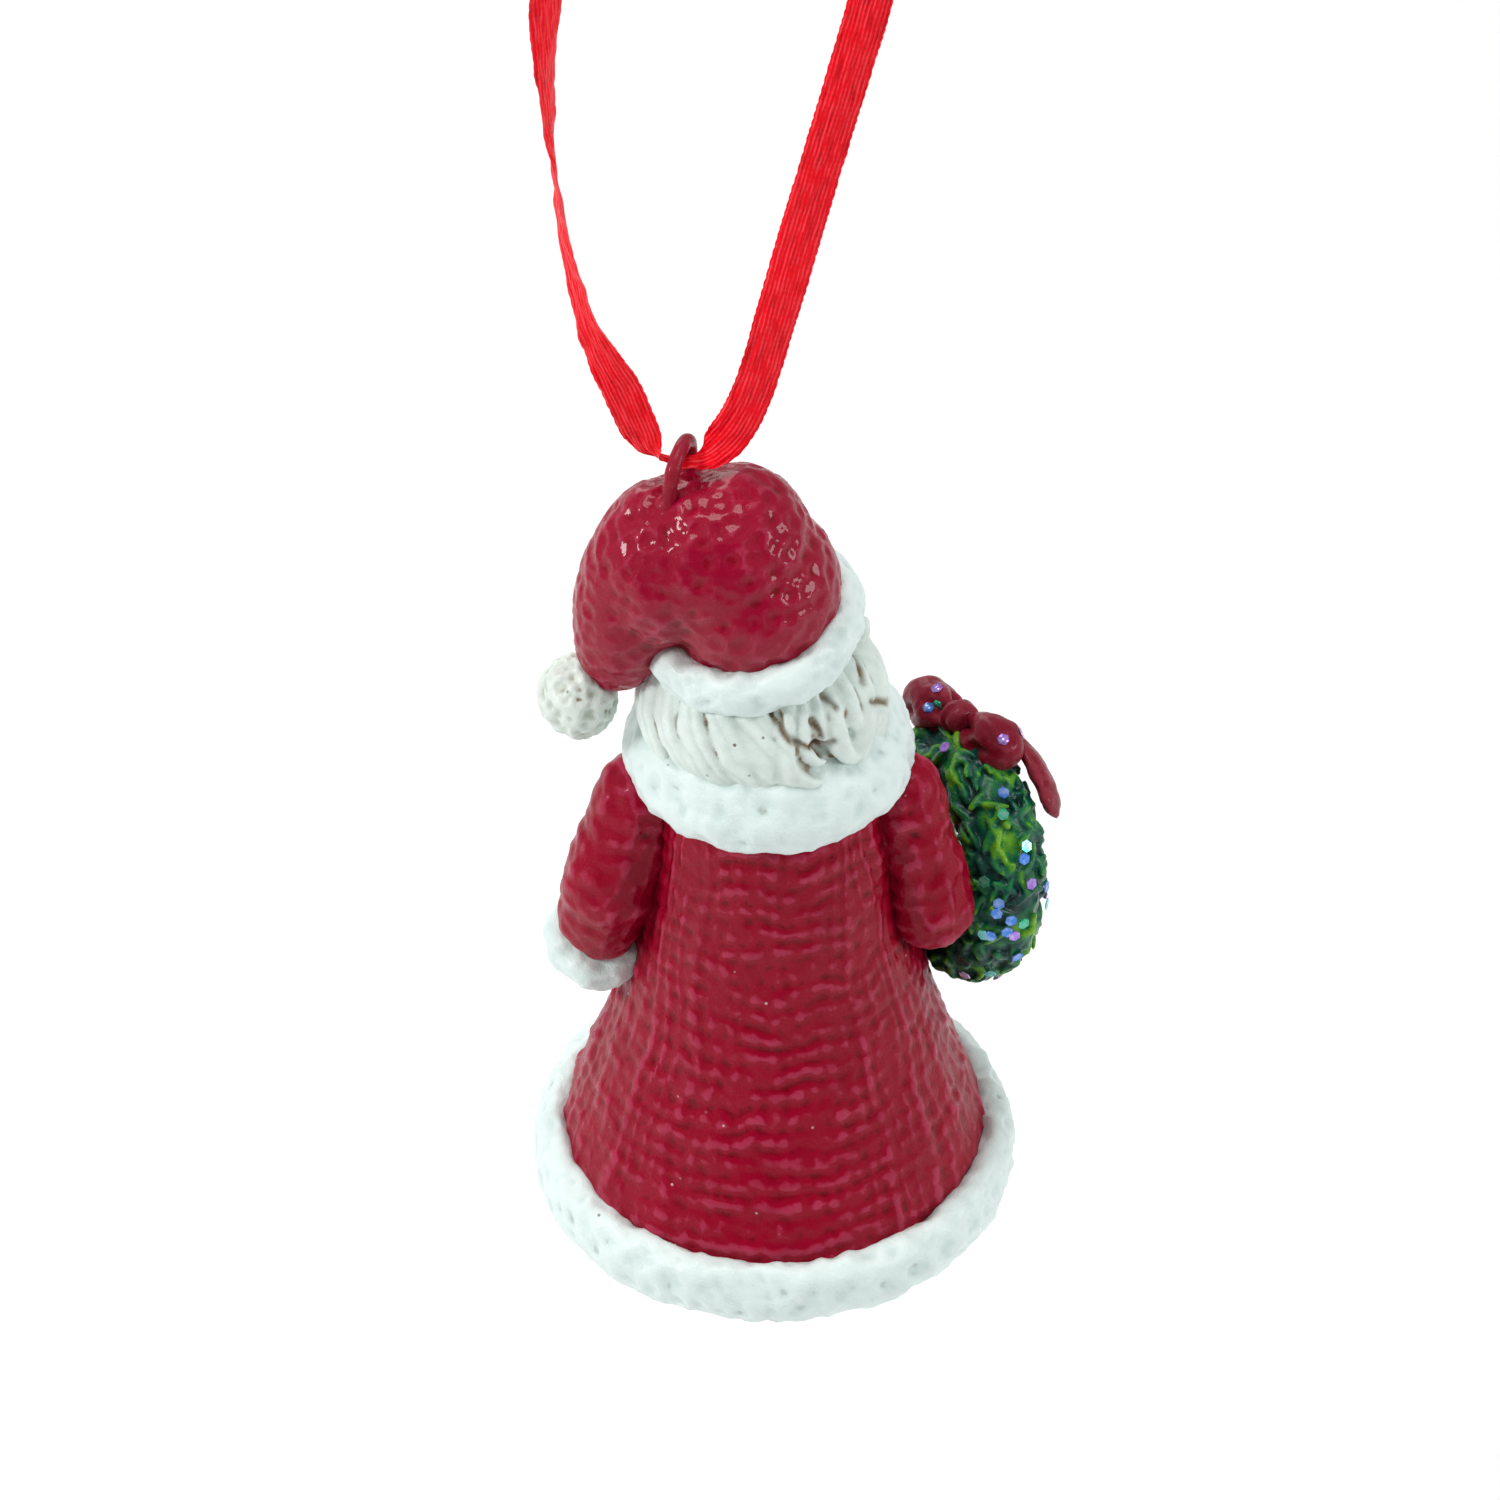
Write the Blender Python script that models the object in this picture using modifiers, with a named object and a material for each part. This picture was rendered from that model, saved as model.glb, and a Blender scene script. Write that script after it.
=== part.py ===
"""Christmas bell ornament: a hollow bell shaped as a robed, bearded figure on a ribbon loop.

The figure faces -Y and +Z is up. The world origin is inside the top of the ribbon loop, where
a hook carries it. All sizes and places are measured from the centre of the bell's rim, in
millimetres, and an empty puts that point in its place under the ribbon's top.
"""
import math

import bmesh
import bpy
from mathutils import Matrix, Vector

MM = 0.001
GAP = 0.3                       # clearance between neighbouring solids

# Driving dimensions, in millimetres above the rim
HOOK = (4.4, -0.7, 148.5)       # inside top of the ribbon loop, where a hook carries it
RIM_RADIUS = 20.0
WALL = 2.0
CEILING = 38.0                  # inside top of the bell
SHOULDER = 45.6                 # top of the robe, inside the collar
HEM_TOP = 5.3
HEAD_LEAN = math.radians(8.0)
HAT_TILT = math.radians(11.7)
TURN_STEPS = 32

# The robe's outside, as (height, radius)
ROBE_OUTLINE = ((0.3, 16.7), (5.0, 16.9), (8.0, 16.1), (11.0, 15.3), (14.0, 14.3), (17.5, 13.2),
                (21.0, 12.3), (25.0, 11.4), (30.0, 10.6), (36.0, 9.9), (41.0, 9.2), (43.4, 7.9),
                (45.0, 6.4), (SHOULDER, 5.2))

HEAD = dict(centre=(1.4, -0.8, 53.0), radii=(6.3, 6.6, 7.0), turn=(0.0, HEAD_LEAN, 0.0))
HAIR = dict(centre=(0.3, 0.6, 50.0), radii=(9.5, 8.7, 7.4))
BEARD = dict(centre=(1.0, -7.6, 44.0), radii=(6.4, 4.2, 7.2))
MOUSTACHE = dict(centre=(1.2, -8.0, 51.4), radii=(3.9, 1.7, 1.2))
CROWN = dict(centre=(1.9, 0.3, 61.8), radii=(6.9, 7.6, 8.2))
TIP = dict(centre=(10.7, 0.4, 60.4), radii=(4.5, 4.7, 9.7), turn=(0.0, math.radians(-13.0), 0.0))
POM_POM = dict(centre=(15.25, 1.0, 50.3), radii=(3.2, 3.4, 3.6))

COLLAR_SHIFT = 0.5
BRIM_CENTRE = (1.7, 0.3, 56.9)
BRIM_TURN = (math.radians(-9.0), HAT_TILT, 0.0)
BRIM_MEAN, BRIM_HALF_WIDTH, BRIM_HALF_HEIGHT = 7.15, 1.55, 1.95

WREATH_CENTRE = (-15.0, -7.0, 27.5)
WREATH_FACING = Vector((-0.891, -0.432, -0.143))
WREATH_TOP = Vector((0.028, -0.368, 0.930))
WREATH_MEAN, WREATH_TUBE = 7.5, 3.2
BOW_KNOT = dict(centre=(0.0, 11.9, 0.8), radii=(1.4, 1.5, 1.6))
BOW_LOOPS = (("bow_loop_back", (-3.4, 10.6, 1.9)), ("bow_loop_front", (4.0, 11.8, 0.6)))
BOW_LOOP_RADII = (3.2, 2.3, 1.9)

# The hanging eye is a bent wire; the ribbon passes through it along X
EYE_WIRE, EYE_HALF_WIDTH, EYE_BEND, EYE_FOOT = 0.6, 2.2, 71.1, 65.0
EYE_LEAN = 0.08
RIBBON_PLANE = HOOK[1]          # in line with the figure's centre of mass
SWING_AXIS = (7.05, RIBBON_PLANE, 71.6)

# The ribbon's two runs from the eye up to the knot, as (x, height), and its knot
RIBBON_RADIUS = 0.8
LEFT_RUN = ((7.05, 71.6), (9.2, 72.3), (10.1, 74.3), (11.4, 78.0), (12.9, 81.6), (14.1, 85.2),
            (15.5, 92.3), (16.2, 99.3), (16.45, 107.0), (16.3, 114.0), (15.6, 123.0), (13.8, 132.5),
            (10.6, 141.5), (7.3, 147.6), (5.8, 150.4))
RIGHT_RUN = ((7.05, 71.6), (5.3, 72.1), (3.4, 74.3), (1.8, 78.0), (0.0, 85.1), (-1.7, 92.3),
             (-3.4, 99.3), (-5.1, 106.3), (-6.7, 113.2), (-7.9, 121.0), (-7.4, 130.5), (-4.3, 140.0),
             (0.6, 147.3), (3.0, 150.4))
KNOT = dict(centre=(4.4, RIBBON_PLANE, 153.4), radii=(2.7, 2.1, 2.3))
RIBBON_POINTS = 24              # on each run
TAILS = (((5.7, 156.3), (7.4, 159.6), (10.0, 162.4)), ((3.1, 156.3), (1.2, 159.9), (-1.8, 162.0)))

# The clapper hangs in the bell: staple, link, wire and ball
STAPLE_WIRE, STAPLE_BEND, STAPLE_LOW = 0.45, 1.6, 34.9
LINK_MEAN, LINK_WIRE = 1.9, 0.38
LINK_CENTRE = STAPLE_LOW + STAPLE_WIRE + GAP - (LINK_MEAN - LINK_WIRE)
LINK_LOW = LINK_CENTRE - LINK_MEAN
LOOP_MEAN = 1.35
LOOP_CENTRE = LINK_LOW + LINK_WIRE + GAP - (LOOP_MEAN - LINK_WIRE)
BALL_RADIUS, BALL_HEIGHT = 3.6, 6.2

COLOURS = {
    "ribbon_satin": ((0.72, 0.005, 0.02), 0.35, 0.0),
    "red_glaze": ((0.34, 0.004, 0.03), 0.3, 0.0),
    "coat_red": ((0.30, 0.004, 0.02), 0.3, 0.0),
    "fur_white": ((0.62, 0.74, 0.70), 0.5, 0.0),
    "hair_white": ((0.66, 0.74, 0.68), 0.5, 0.0),
    "skin": ((0.80, 0.46, 0.34), 0.45, 0.0),
    "mitten_dark": ((0.02, 0.09, 0.05), 0.4, 0.0),
    "wreath_green": ((0.01, 0.13, 0.05), 0.4, 0.0),
    "bow_red": ((0.28, 0.008, 0.03), 0.35, 0.0),
    "eye_red": ((0.34, 0.02, 0.04), 0.35, 0.0),
    "wire_steel": ((0.55, 0.55, 0.56), 0.3, 1.0),
    "ball_brass": ((0.65, 0.47, 0.20), 0.3, 1.0),
}


# ---------------------------------------------------------------- scene and helpers

def clear_scene():
    for item in list(bpy.data.objects):
        bpy.data.objects.remove(item, do_unlink=True)


def new_collection(name):
    group = bpy.data.collections.new(name)
    bpy.context.scene.collection.children.link(group)
    return group


def finish_for(name):
    made = bpy.data.materials.get(name)
    if made:
        return made
    colour, roughness, metallic = COLOURS[name]
    made = bpy.data.materials.new(name)
    made.use_nodes = True
    shader = made.node_tree.nodes["Principled BSDF"]
    shader.inputs["Base Color"].default_value = (*colour, 1.0)
    shader.inputs["Roughness"].default_value = roughness
    shader.inputs["Metallic"].default_value = metallic
    return made


def empty_at(name, place, parent=None):
    item = bpy.data.objects.new(name, None)
    item.location = Vector(place) * MM
    item.parent = parent
    PARTS.objects.link(item)
    return item


def add_object(name, data, finish, frame, place=(0, 0, 0), turn=(0, 0, 0)):
    """Link a piece to the parts, or a cutter (finish None) to the cutters."""
    item = bpy.data.objects.new(name, data)
    item.parent = frame
    item.location = Vector(place) * MM
    item.rotation_euler = turn
    if finish is None:
        item.hide_render = True
        item.display_type = "WIRE"
        CUTTERS.objects.link(item)
        return item
    data.materials.append(finish_for(finish))
    PARTS.objects.link(item)
    return item


def mesh_from(shape, name):
    for face in shape.faces:
        face.smooth = True
    data = bpy.data.meshes.new(name)
    shape.to_mesh(data)
    shape.free()
    return data


def ellipsoid(name, finish, frame, centre, radii, turn=(0, 0, 0), grow=0.0, around=20, rings=12):
    """An ellipsoid of the given radii, each larger by grow."""
    shape = bmesh.new()
    sizes = [(radius + grow) * MM for radius in radii]
    bmesh.ops.create_uvsphere(shape, u_segments=around, v_segments=rings, radius=1.0,
                              matrix=Matrix.Diagonal((*sizes, 1.0)))
    return add_object(name, mesh_from(shape, name), finish, frame, centre, turn)


def turned(name, profile, finish, frame, place=(0, 0, 0), turn=(0, 0, 0), ring=False,
           steps=TURN_STEPS):
    """Turn (radius, height) points about Z; a ring's profile is a closed loop."""
    shape = bmesh.new()
    points = [shape.verts.new((radius * MM, 0.0, height * MM)) for radius, height in profile]
    for first, second in zip(points, points[1:]):
        shape.edges.new((first, second))
    if ring:
        shape.edges.new((points[-1], points[0]))
    item = add_object(name, mesh_from(shape, name), finish, frame, place, turn)
    screw = item.modifiers.new("Turn", "SCREW")
    screw.steps = screw.render_steps = steps
    screw.use_merge_vertices = True
    screw.merge_threshold = 0.000001
    screw.use_smooth_shade = True
    return item


def oval(mean, half_width, half_height, grow=0.0, count=12):
    """A ring's section, running down its outer side."""
    angles = [math.radians(90.0) - 2.0 * math.pi * step / count for step in range(count)]
    return [(mean + (half_width + grow) * math.cos(angle), (half_height + grow) * math.sin(angle))
            for angle in angles]


def box(name, frame, low, high):
    """A box cutter between two corners."""
    shape = bmesh.new()
    size = Vector(high) - Vector(low)
    middle = (Vector(high) + Vector(low)) / 2.0
    bmesh.ops.create_cube(shape, size=1.0, matrix=Matrix.Translation(middle * MM)
                          @ Matrix.Diagonal((*(size * MM), 1.0)))
    return add_object(name, mesh_from(shape, name), None, frame)


def disc(name, frame, radius, low, high, place, turn):
    """A flat cylinder cutter."""
    return turned(name, [(0, high), (radius, high), (radius, low), (0, low)], None, frame, place,
                  turn)


def limb(name, finish, frame, start, end, start_radius, end_radius, around=20):
    """A round-ended, tapered limb between two points."""
    run = Vector(end) - Vector(start)
    length = run.length
    arc = [math.radians(90.0 * step / 5) for step in range(6)]
    profile = [(end_radius * math.sin(a), length + end_radius * math.cos(a)) for a in arc]
    profile += [(start_radius * math.cos(a), -start_radius * math.sin(a)) for a in arc]
    profile[0] = (0.0, profile[0][1])
    profile[-1] = (0.0, profile[-1][1])
    item = turned(name, profile, finish, frame, start, steps=around)
    item.rotation_euler = run.to_track_quat("Z", "Y").to_euler()
    return item


def smooth_route(points, count):
    """Evenly placed points on a smooth curve through the route's own points."""
    route = [Vector(point) for point in points]
    ends = [2 * route[0] - route[1]] + route + [2 * route[-1] - route[-2]]
    fine = []
    for before, start, end, after in zip(ends, ends[1:], ends[2:], ends[3:]):
        for step in range(16):
            t = step / 16
            fine.append(0.5 * (2 * start + (end - before) * t
                               + (2 * before - 5 * start + 4 * end - after) * t * t
                               + (3 * start - before - 3 * end + after) * t ** 3))
    fine.append(route[-1])
    along = [0.0]
    for first, second in zip(fine, fine[1:]):
        along.append(along[-1] + (second - first).length)
    places, index = [], 0
    for step in range(count):
        target = along[-1] * step / (count - 1)
        while index < len(fine) - 2 and along[index + 1] < target:
            index += 1
        share = (target - along[index]) / (along[index + 1] - along[index])
        places.append(fine[index].lerp(fine[index + 1], share))
    return places


def tube(name, points, radius, finish, frame):
    """A round wire through the points, with filled ends."""
    curve = bpy.data.curves.new(name, "CURVE")
    curve.dimensions = "3D"
    curve.bevel_depth = radius * MM
    curve.bevel_resolution = 2
    curve.use_fill_caps = True
    spline = curve.splines.new("POLY")
    spline.points.add(len(points) - 1)
    for target, point in zip(spline.points, points):
        target.co = (*(Vector(point) * MM), 1.0)
    return add_object(name, curve, finish, frame)


def as_mesh(item, finish, frame):
    """Make a curve piece a welded mesh, so that it can be cut or be a cutter."""
    bpy.context.view_layer.update()
    data = bpy.data.meshes.new_from_object(item.evaluated_get(bpy.context.evaluated_depsgraph_get()))
    shape = bmesh.new()
    shape.from_mesh(data)
    bmesh.ops.remove_doubles(shape, verts=shape.verts, dist=0.000001)
    shape.to_mesh(data)
    shape.free()
    name = item.name
    bpy.data.objects.remove(item, do_unlink=True)
    data.materials.clear()
    return add_object(name, data, finish, frame)


def boolean(piece, operation, others):
    for other in others:
        step = piece.modifiers.new(operation.title() + " " + other.name, "BOOLEAN")
        step.operation = operation
        step.solver = "EXACT"
        step.object = other


def cut(piece, *cutters):
    boolean(piece, "DIFFERENCE", cutters)


def join(piece, *others):
    boolean(piece, "UNION", others)


# ---------------------------------------------------------------- the bell and its robe

def robe_solid(name, grow):
    """The robe's outside as a solid cutter, larger by grow all round."""
    heights = [(height, radius + grow) for height, radius in reversed(ROBE_OUTLINE)]
    profile = [(0.0, SHOULDER + grow), (ROBE_OUTLINE[-1][1] + grow, SHOULDER + grow)]
    profile += [(radius, height) for height, radius in heights]
    profile += [(ROBE_OUTLINE[0][1] + grow, -2.0), (0.0, -2.0)]
    return turned(name, profile, None, RIM)


def make_robe():
    """The bell: the coat's outside, and a hollow with an even wall and a flat ceiling."""
    outside = [(radius, height) for height, radius in reversed(ROBE_OUTLINE)]
    inside = [(radius - WALL, height) for height, radius in ROBE_OUTLINE if height < CEILING]
    profile = [(0.0, SHOULDER)] + outside + inside + [(7.6, CEILING), (0.0, CEILING)]
    robe = turned("robe_bell", profile, "coat_red", RIM)
    cut(robe, make_staple("staple_holes", GAP, None))


def make_hem():
    profile = [(17.4, HEM_TOP), (18.6, 5.1), (19.5, 4.1), (RIM_RADIUS, 2.4), (19.9, 1.0), (19.2, 0.0),
               (17.1, 0.0), (17.25, 4.9)]
    turned("hem_band", profile, "fur_white", RIM, ring=True, steps=40)


def make_front_trim():
    """The fur edge down the front of the robe, from the beard to the hem."""
    outside = [(radius + 1.3, height) for height, radius in reversed(ROBE_OUTLINE)
               if HEM_TOP < height < CEILING + 1]
    profile = [(0.0, CEILING), (outside[0][0], CEILING)] + outside
    profile += [(18.1, HEM_TOP + GAP), (0.0, HEM_TOP + GAP)]
    trim = turned("front_trim", profile, "fur_white", RIM)
    strip = box("front_strip", RIM, (-1.9, -25.0, -1.0), (1.9, -5.0, 60.0))
    boolean(trim, "INTERSECT", [strip])
    cut(trim, ROBE_SPACE, BEARD_SPACE)


def make_collar():
    profile = [(6.2, 49.6), (8.2, 49.3), (9.9, 47.8), (11.1, 45.9), (11.4, 44.2), (10.9, 42.6),
               (9.75, 42.1), (8.5, 43.9), (6.6, 46.0), (5.8, 47.6)]
    collar = turned("fur_collar", profile, "fur_white", RIM, (COLLAR_SHIFT, 0, 0), ring=True)
    cut(collar, HEAD_SPACE, BEARD_SPACE)


# ---------------------------------------------------------------- the head and hat

def make_head():
    ellipsoid("head", "skin", RIM, **HEAD)
    hair = ellipsoid("hair", "hair_white", RIM, **HAIR)
    under_brim = disc("above_hair", RIM, 14.0, -BRIM_HALF_HEIGHT - GAP, 14.0, BRIM_CENTRE,
                      BRIM_TURN)
    face_space = box("face_space", RIM, (-15.0, -15.0, 40.0), (15.0, -2.6, 65.0))
    cut(hair, HEAD_SPACE, COLLAR_SPACE, under_brim, face_space)
    beard = ellipsoid("beard", "hair_white", RIM, **BEARD)
    lip_space = ellipsoid("moustache_space", None, RIM, **MOUSTACHE, grow=GAP)
    cut(beard, HEAD_SPACE, ROBE_SPACE, lip_space)
    moustache = ellipsoid("moustache", "hair_white", RIM, **MOUSTACHE, around=16, rings=10)
    cut(moustache, HEAD_SPACE)


def make_hat():
    brim = turned("hat_brim", oval(BRIM_MEAN, BRIM_HALF_WIDTH, BRIM_HALF_HEIGHT), "fur_white", RIM,
                  BRIM_CENTRE, BRIM_TURN, ring=True)
    cut(brim, HEAD_SPACE)
    below = disc("below_crown", RIM, 20.0, -14.0, BRIM_HALF_HEIGHT + GAP, BRIM_CENTRE,
                 BRIM_TURN)
    brim_space = turned("brim_space", oval(BRIM_MEAN, BRIM_HALF_WIDTH, BRIM_HALF_HEIGHT, GAP), None,
                        RIM, BRIM_CENTRE, BRIM_TURN, ring=True)
    hair_space = ellipsoid("hair_space", None, RIM, **HAIR, grow=GAP)
    pom_space = ellipsoid("pom_space", None, RIM, **POM_POM, grow=GAP)
    hat = ellipsoid("hat", "red_glaze", RIM, **CROWN)
    cut(hat, below)
    join(hat, ellipsoid("hat_tip", None, RIM, **TIP))
    cut(hat, brim_space, HEAD_SPACE, hair_space, pom_space, make_eye("eye_holes", GAP, None))
    ellipsoid("pom_pom", "fur_white", RIM, **POM_POM, around=18, rings=12)


def make_eye(name, grow, finish):
    """The hanging eye, an upright U of wire in the YZ plane, its feet sunk in the hat."""
    bend = [(EYE_HALF_WIDTH * math.cos(a), EYE_BEND + EYE_HALF_WIDTH * math.sin(a))
            for a in (math.pi * step / 8 for step in range(9))]
    legs = [EYE_FOOT, 67.0, 69.0]
    outline = [(EYE_HALF_WIDTH, height) for height in legs] + bend
    outline += [(-EYE_HALF_WIDTH, height) for height in reversed(legs)]
    top = EYE_BEND + EYE_HALF_WIDTH
    points = [(SWING_AXIS[0] + EYE_LEAN * (top - height), RIBBON_PLANE + across, height)
              for across, height in outline]
    return as_mesh(tube(name, points, EYE_WIRE + grow, None, RIM), finish, RIM)


# ---------------------------------------------------------------- arms, cuffs and mittens

def make_cuff(name, place, facing, radius, finish="fur_white", grow=0.0):
    """A rounded fur cuff as a solid disc across the sleeve's end."""
    half, reach = 1.6 + grow, radius + grow
    profile = [(0.0, half), (reach - 0.9, half), (reach - 0.2, half * 0.6), (reach, 0.0),
               (reach - 0.2, -half * 0.6), (reach - 0.9, -half), (0.0, -half)]
    cuff = turned(name, profile, finish, RIM, place, steps=24)
    cuff.rotation_euler = Vector(facing).to_track_quat("Z", "Y").to_euler()
    return cuff


def make_arm(side, shoulder, elbow, wrist, cuff_at, facing, cuff_radius, hand, hand_radii):
    """One arm in three solids: sleeve, cuff and mitten."""
    sleeve = limb(side + "_sleeve", "coat_red", RIM, shoulder, elbow, 3.4, 3.7)
    join(sleeve, limb(side + "_forearm", None, RIM, elbow, wrist, 3.65, 3.1))
    cuff_space = make_cuff(side + "_cuff_space", cuff_at, facing, cuff_radius, None, GAP)
    cut(sleeve, cuff_space, ROBE_SPACE, COLLAR_SPACE, WREATH_SPACE)
    cuff = make_cuff(side + "_cuff", cuff_at, facing, cuff_radius)
    cut(cuff, ROBE_SPACE, WREATH_SPACE)
    mitten = ellipsoid(side + "_mitten", "mitten_dark", RIM, hand, hand_radii, around=18, rings=12)
    cut(mitten, cuff_space, ROBE_SPACE, WREATH_SPACE)


# ---------------------------------------------------------------- the wreath and its bow

def wreath_frame():
    """An empty at the wreath's centre: local Z faces outward and local Y runs to its top."""
    facing = WREATH_FACING.normalized()
    top = (WREATH_TOP - facing * WREATH_TOP.dot(facing)).normalized()
    frame = empty_at("wreath_frame", WREATH_CENTRE, RIM)
    frame.rotation_euler = Matrix((top.cross(facing), top, facing)).transposed().to_euler()
    return frame


def make_wreath():
    wreath = turned("wreath", oval(WREATH_MEAN, WREATH_TUBE, WREATH_TUBE), "wreath_green", WREATH,
                    ring=True, steps=32)
    cut(wreath, ROBE_SPACE)
    knot = ellipsoid("bow_knot", "bow_red", WREATH, **BOW_KNOT, around=16, rings=10)
    cut(knot, WREATH_SPACE)
    knot_space = ellipsoid("bow_knot_space", None, WREATH, **BOW_KNOT, grow=GAP)
    loop_spaces = []
    for name, centre in BOW_LOOPS:
        shape = dict(centre=centre, radii=BOW_LOOP_RADII, around=16, rings=10)
        loop = ellipsoid(name, "bow_red", WREATH, **shape)
        cut(loop, WREATH_SPACE, knot_space)
        loop_spaces.append(ellipsoid(name + "_space", None, WREATH, **shape, grow=GAP))
    back_tail = ((-1.9, 11.0, 2.7), (-3.4, 10.2, 3.4), (-6.0, 8.4, 3.8), (-8.4, 4.6, 4.2))
    front_tail = ((1.7, 10.9, 2.9), (2.9, 9.6, 3.9), (3.9, 7.2, 4.4), (3.7, 4.4, 4.4))
    for name, route in (("bow_tail_back", back_tail), ("bow_tail_front", front_tail)):
        tail = as_mesh(tube(name, smooth_route(route, 8), 0.75, None, WREATH), "bow_red", WREATH)
        cut(tail, WREATH_SPACE, knot_space, *loop_spaces)


# ---------------------------------------------------------------- the clapper

def make_staple(name, grow, finish):
    """The clapper's staple: a U of wire with its ends set in the ceiling."""
    bend_centre = STAPLE_LOW + STAPLE_BEND
    bend = [(STAPLE_BEND * math.cos(a), 0.0, bend_centre - STAPLE_BEND * math.sin(a))
            for a in (math.pi * step / 8 for step in range(9))]
    leg = CEILING + 2.0
    points = [(STAPLE_BEND, 0.0, leg)] + bend + [(-STAPLE_BEND, 0.0, leg)]
    return as_mesh(tube(name, points, STAPLE_WIRE + grow, None, RIM), finish, RIM)


def make_clapper():
    make_staple("clapper_staple", 0.0, "wire_steel")
    link_axis = empty_at("link_axis", (0, 0, STAPLE_LOW), RIM)
    turned("clapper_link", oval(LINK_MEAN, LINK_WIRE, LINK_WIRE, count=8), "wire_steel", link_axis,
           (0, 0, LINK_CENTRE - STAPLE_LOW), (0.0, math.pi / 2, 0.0), ring=True, steps=24)
    clapper_axis = empty_at("clapper_axis", (0, 0, LINK_LOW), RIM)
    centre = LOOP_CENTRE - LINK_LOW
    loop = [(LOOP_MEAN * math.cos(a), 0.0, centre + LOOP_MEAN * math.sin(a))
            for a in (math.radians(-50 + 265 * step / 12) for step in range(13))]
    foot = BALL_HEIGHT + BALL_RADIUS + GAP - LINK_LOW
    stem = [(0.0, 0.0, foot), (0.0, 0.0, -12.0), (0.0, 0.0, -4.0), (0.0, 0.0, -2.9),
            (0.22, 0.0, -2.05)]
    tube("clapper_wire", stem + loop, LINK_WIRE, "wire_steel", clapper_axis)
    ellipsoid("clapper_ball", "ball_brass", clapper_axis, (0, 0, BALL_HEIGHT - LINK_LOW),
              (BALL_RADIUS,) * 3)


# ---------------------------------------------------------------- the ribbon

def ribbon_route(points, count):
    return smooth_route([(x, RIBBON_PLANE, height) for x, height in points], count)


def make_ribbon():
    """The ribbon loop, its knot and the two short ends above it."""
    left, right = (ribbon_route(run, RIBBON_POINTS) for run in (LEFT_RUN, RIGHT_RUN))
    loop = tube("hanging_ribbon", right[::-1] + left[1:], RIBBON_RADIUS, None, RIBBON)
    loop = as_mesh(loop, "ribbon_satin", RIBBON)
    cut(loop, ellipsoid("knot_space", None, RIBBON, **KNOT, grow=GAP))
    ellipsoid("ribbon_knot", "ribbon_satin", RIBBON, **KNOT, around=18, rings=12)
    for side, route in zip(("left", "right"), TAILS):
        tube("ribbon_end_" + side, ribbon_route(route, 6), RIBBON_RADIUS, "ribbon_satin", RIBBON)


clear_scene()
PARTS = new_collection("christmas_bell_ornament")
CUTTERS = new_collection("cutters")

RIBBON = empty_at("ribbon_frame", -Vector(HOOK))
SWING = empty_at("swing_axis", SWING_AXIS, RIBBON)
RIM = empty_at("rim_centre", -Vector(SWING_AXIS), SWING)
WREATH = wreath_frame()

ROBE_SPACE = robe_solid("robe_space", GAP)
HEAD_SPACE = ellipsoid("head_space", None, RIM, **HEAD, grow=GAP)
BEARD_SPACE = ellipsoid("beard_space", None, RIM, **BEARD, grow=GAP)
COLLAR_SPACE = turned("collar_space", [(0.0, 49.9), (6.6, 49.9), (8.4, 49.6), (10.2, 48.0),
                                       (11.4, 46.1), (11.7, 44.2), (11.2, 42.3), (9.75, 41.8),
                                       (0.0, 41.8)], None, RIM, (COLLAR_SHIFT, 0, 0))
WREATH_SPACE = turned("wreath_space", oval(WREATH_MEAN, WREATH_TUBE, WREATH_TUBE, GAP), None, WREATH,
                      ring=True, steps=32)

make_robe()
make_hem()
make_front_trim()
make_collar()
make_head()
make_hat()
make_eye("hanger_eye", 0.0, "eye_red")
make_arm("left", (10.6, 0.8, 40.4), (13.2, 2.0, 32.0), (14.3, 1.0, 27.0),
         (14.4, 0.0, 24.3), (0.0, -0.45, -0.89), 3.9, (13.9, -2.8, 21.6), (2.6, 3.2, 2.5))
make_arm("right", (-10.4, 0.8, 40.4), (-12.8, 2.0, 29.6), (-10.2, -7.4, 26.8),
         (-9.6, -9.4, 26.9), (0.38, -0.92, 0.08), 3.5, (-8.7, -12.5, 27.3), (2.5, 2.9, 2.6))
make_wreath()
make_clapper()
make_ribbon()
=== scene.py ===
"""Looks of the christmas bell ornament: painted casting, foliage wreath, clapper and ribbon loop.

Shapes are drawn in millimetres from the centre of the bell's rim, with the face towards -Y and
Z up, and settle() puts each one in its place in the frame.
"""
import random
from math import atan2, cos, degrees, exp, hypot, pi, radians, sin, sqrt, tan

import bmesh
import bpy
from mathutils import Matrix, Quaternion, Vector, noise


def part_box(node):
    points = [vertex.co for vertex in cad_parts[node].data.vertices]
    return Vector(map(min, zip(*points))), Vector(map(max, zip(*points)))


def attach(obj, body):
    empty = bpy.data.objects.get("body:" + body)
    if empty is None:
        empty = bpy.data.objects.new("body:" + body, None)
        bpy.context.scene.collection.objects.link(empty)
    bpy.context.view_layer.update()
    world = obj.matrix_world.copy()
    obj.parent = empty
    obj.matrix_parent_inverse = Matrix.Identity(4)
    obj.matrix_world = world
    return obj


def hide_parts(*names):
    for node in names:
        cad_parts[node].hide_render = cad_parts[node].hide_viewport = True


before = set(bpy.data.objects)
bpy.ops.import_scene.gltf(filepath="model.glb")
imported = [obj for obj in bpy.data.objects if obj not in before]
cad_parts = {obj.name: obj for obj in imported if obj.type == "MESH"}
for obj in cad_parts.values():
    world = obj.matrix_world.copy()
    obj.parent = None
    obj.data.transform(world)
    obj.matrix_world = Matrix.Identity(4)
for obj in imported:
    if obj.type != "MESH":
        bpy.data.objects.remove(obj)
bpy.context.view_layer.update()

MM = 0.001
HEM_LOW, HEM_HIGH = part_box("hem_band")
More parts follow.
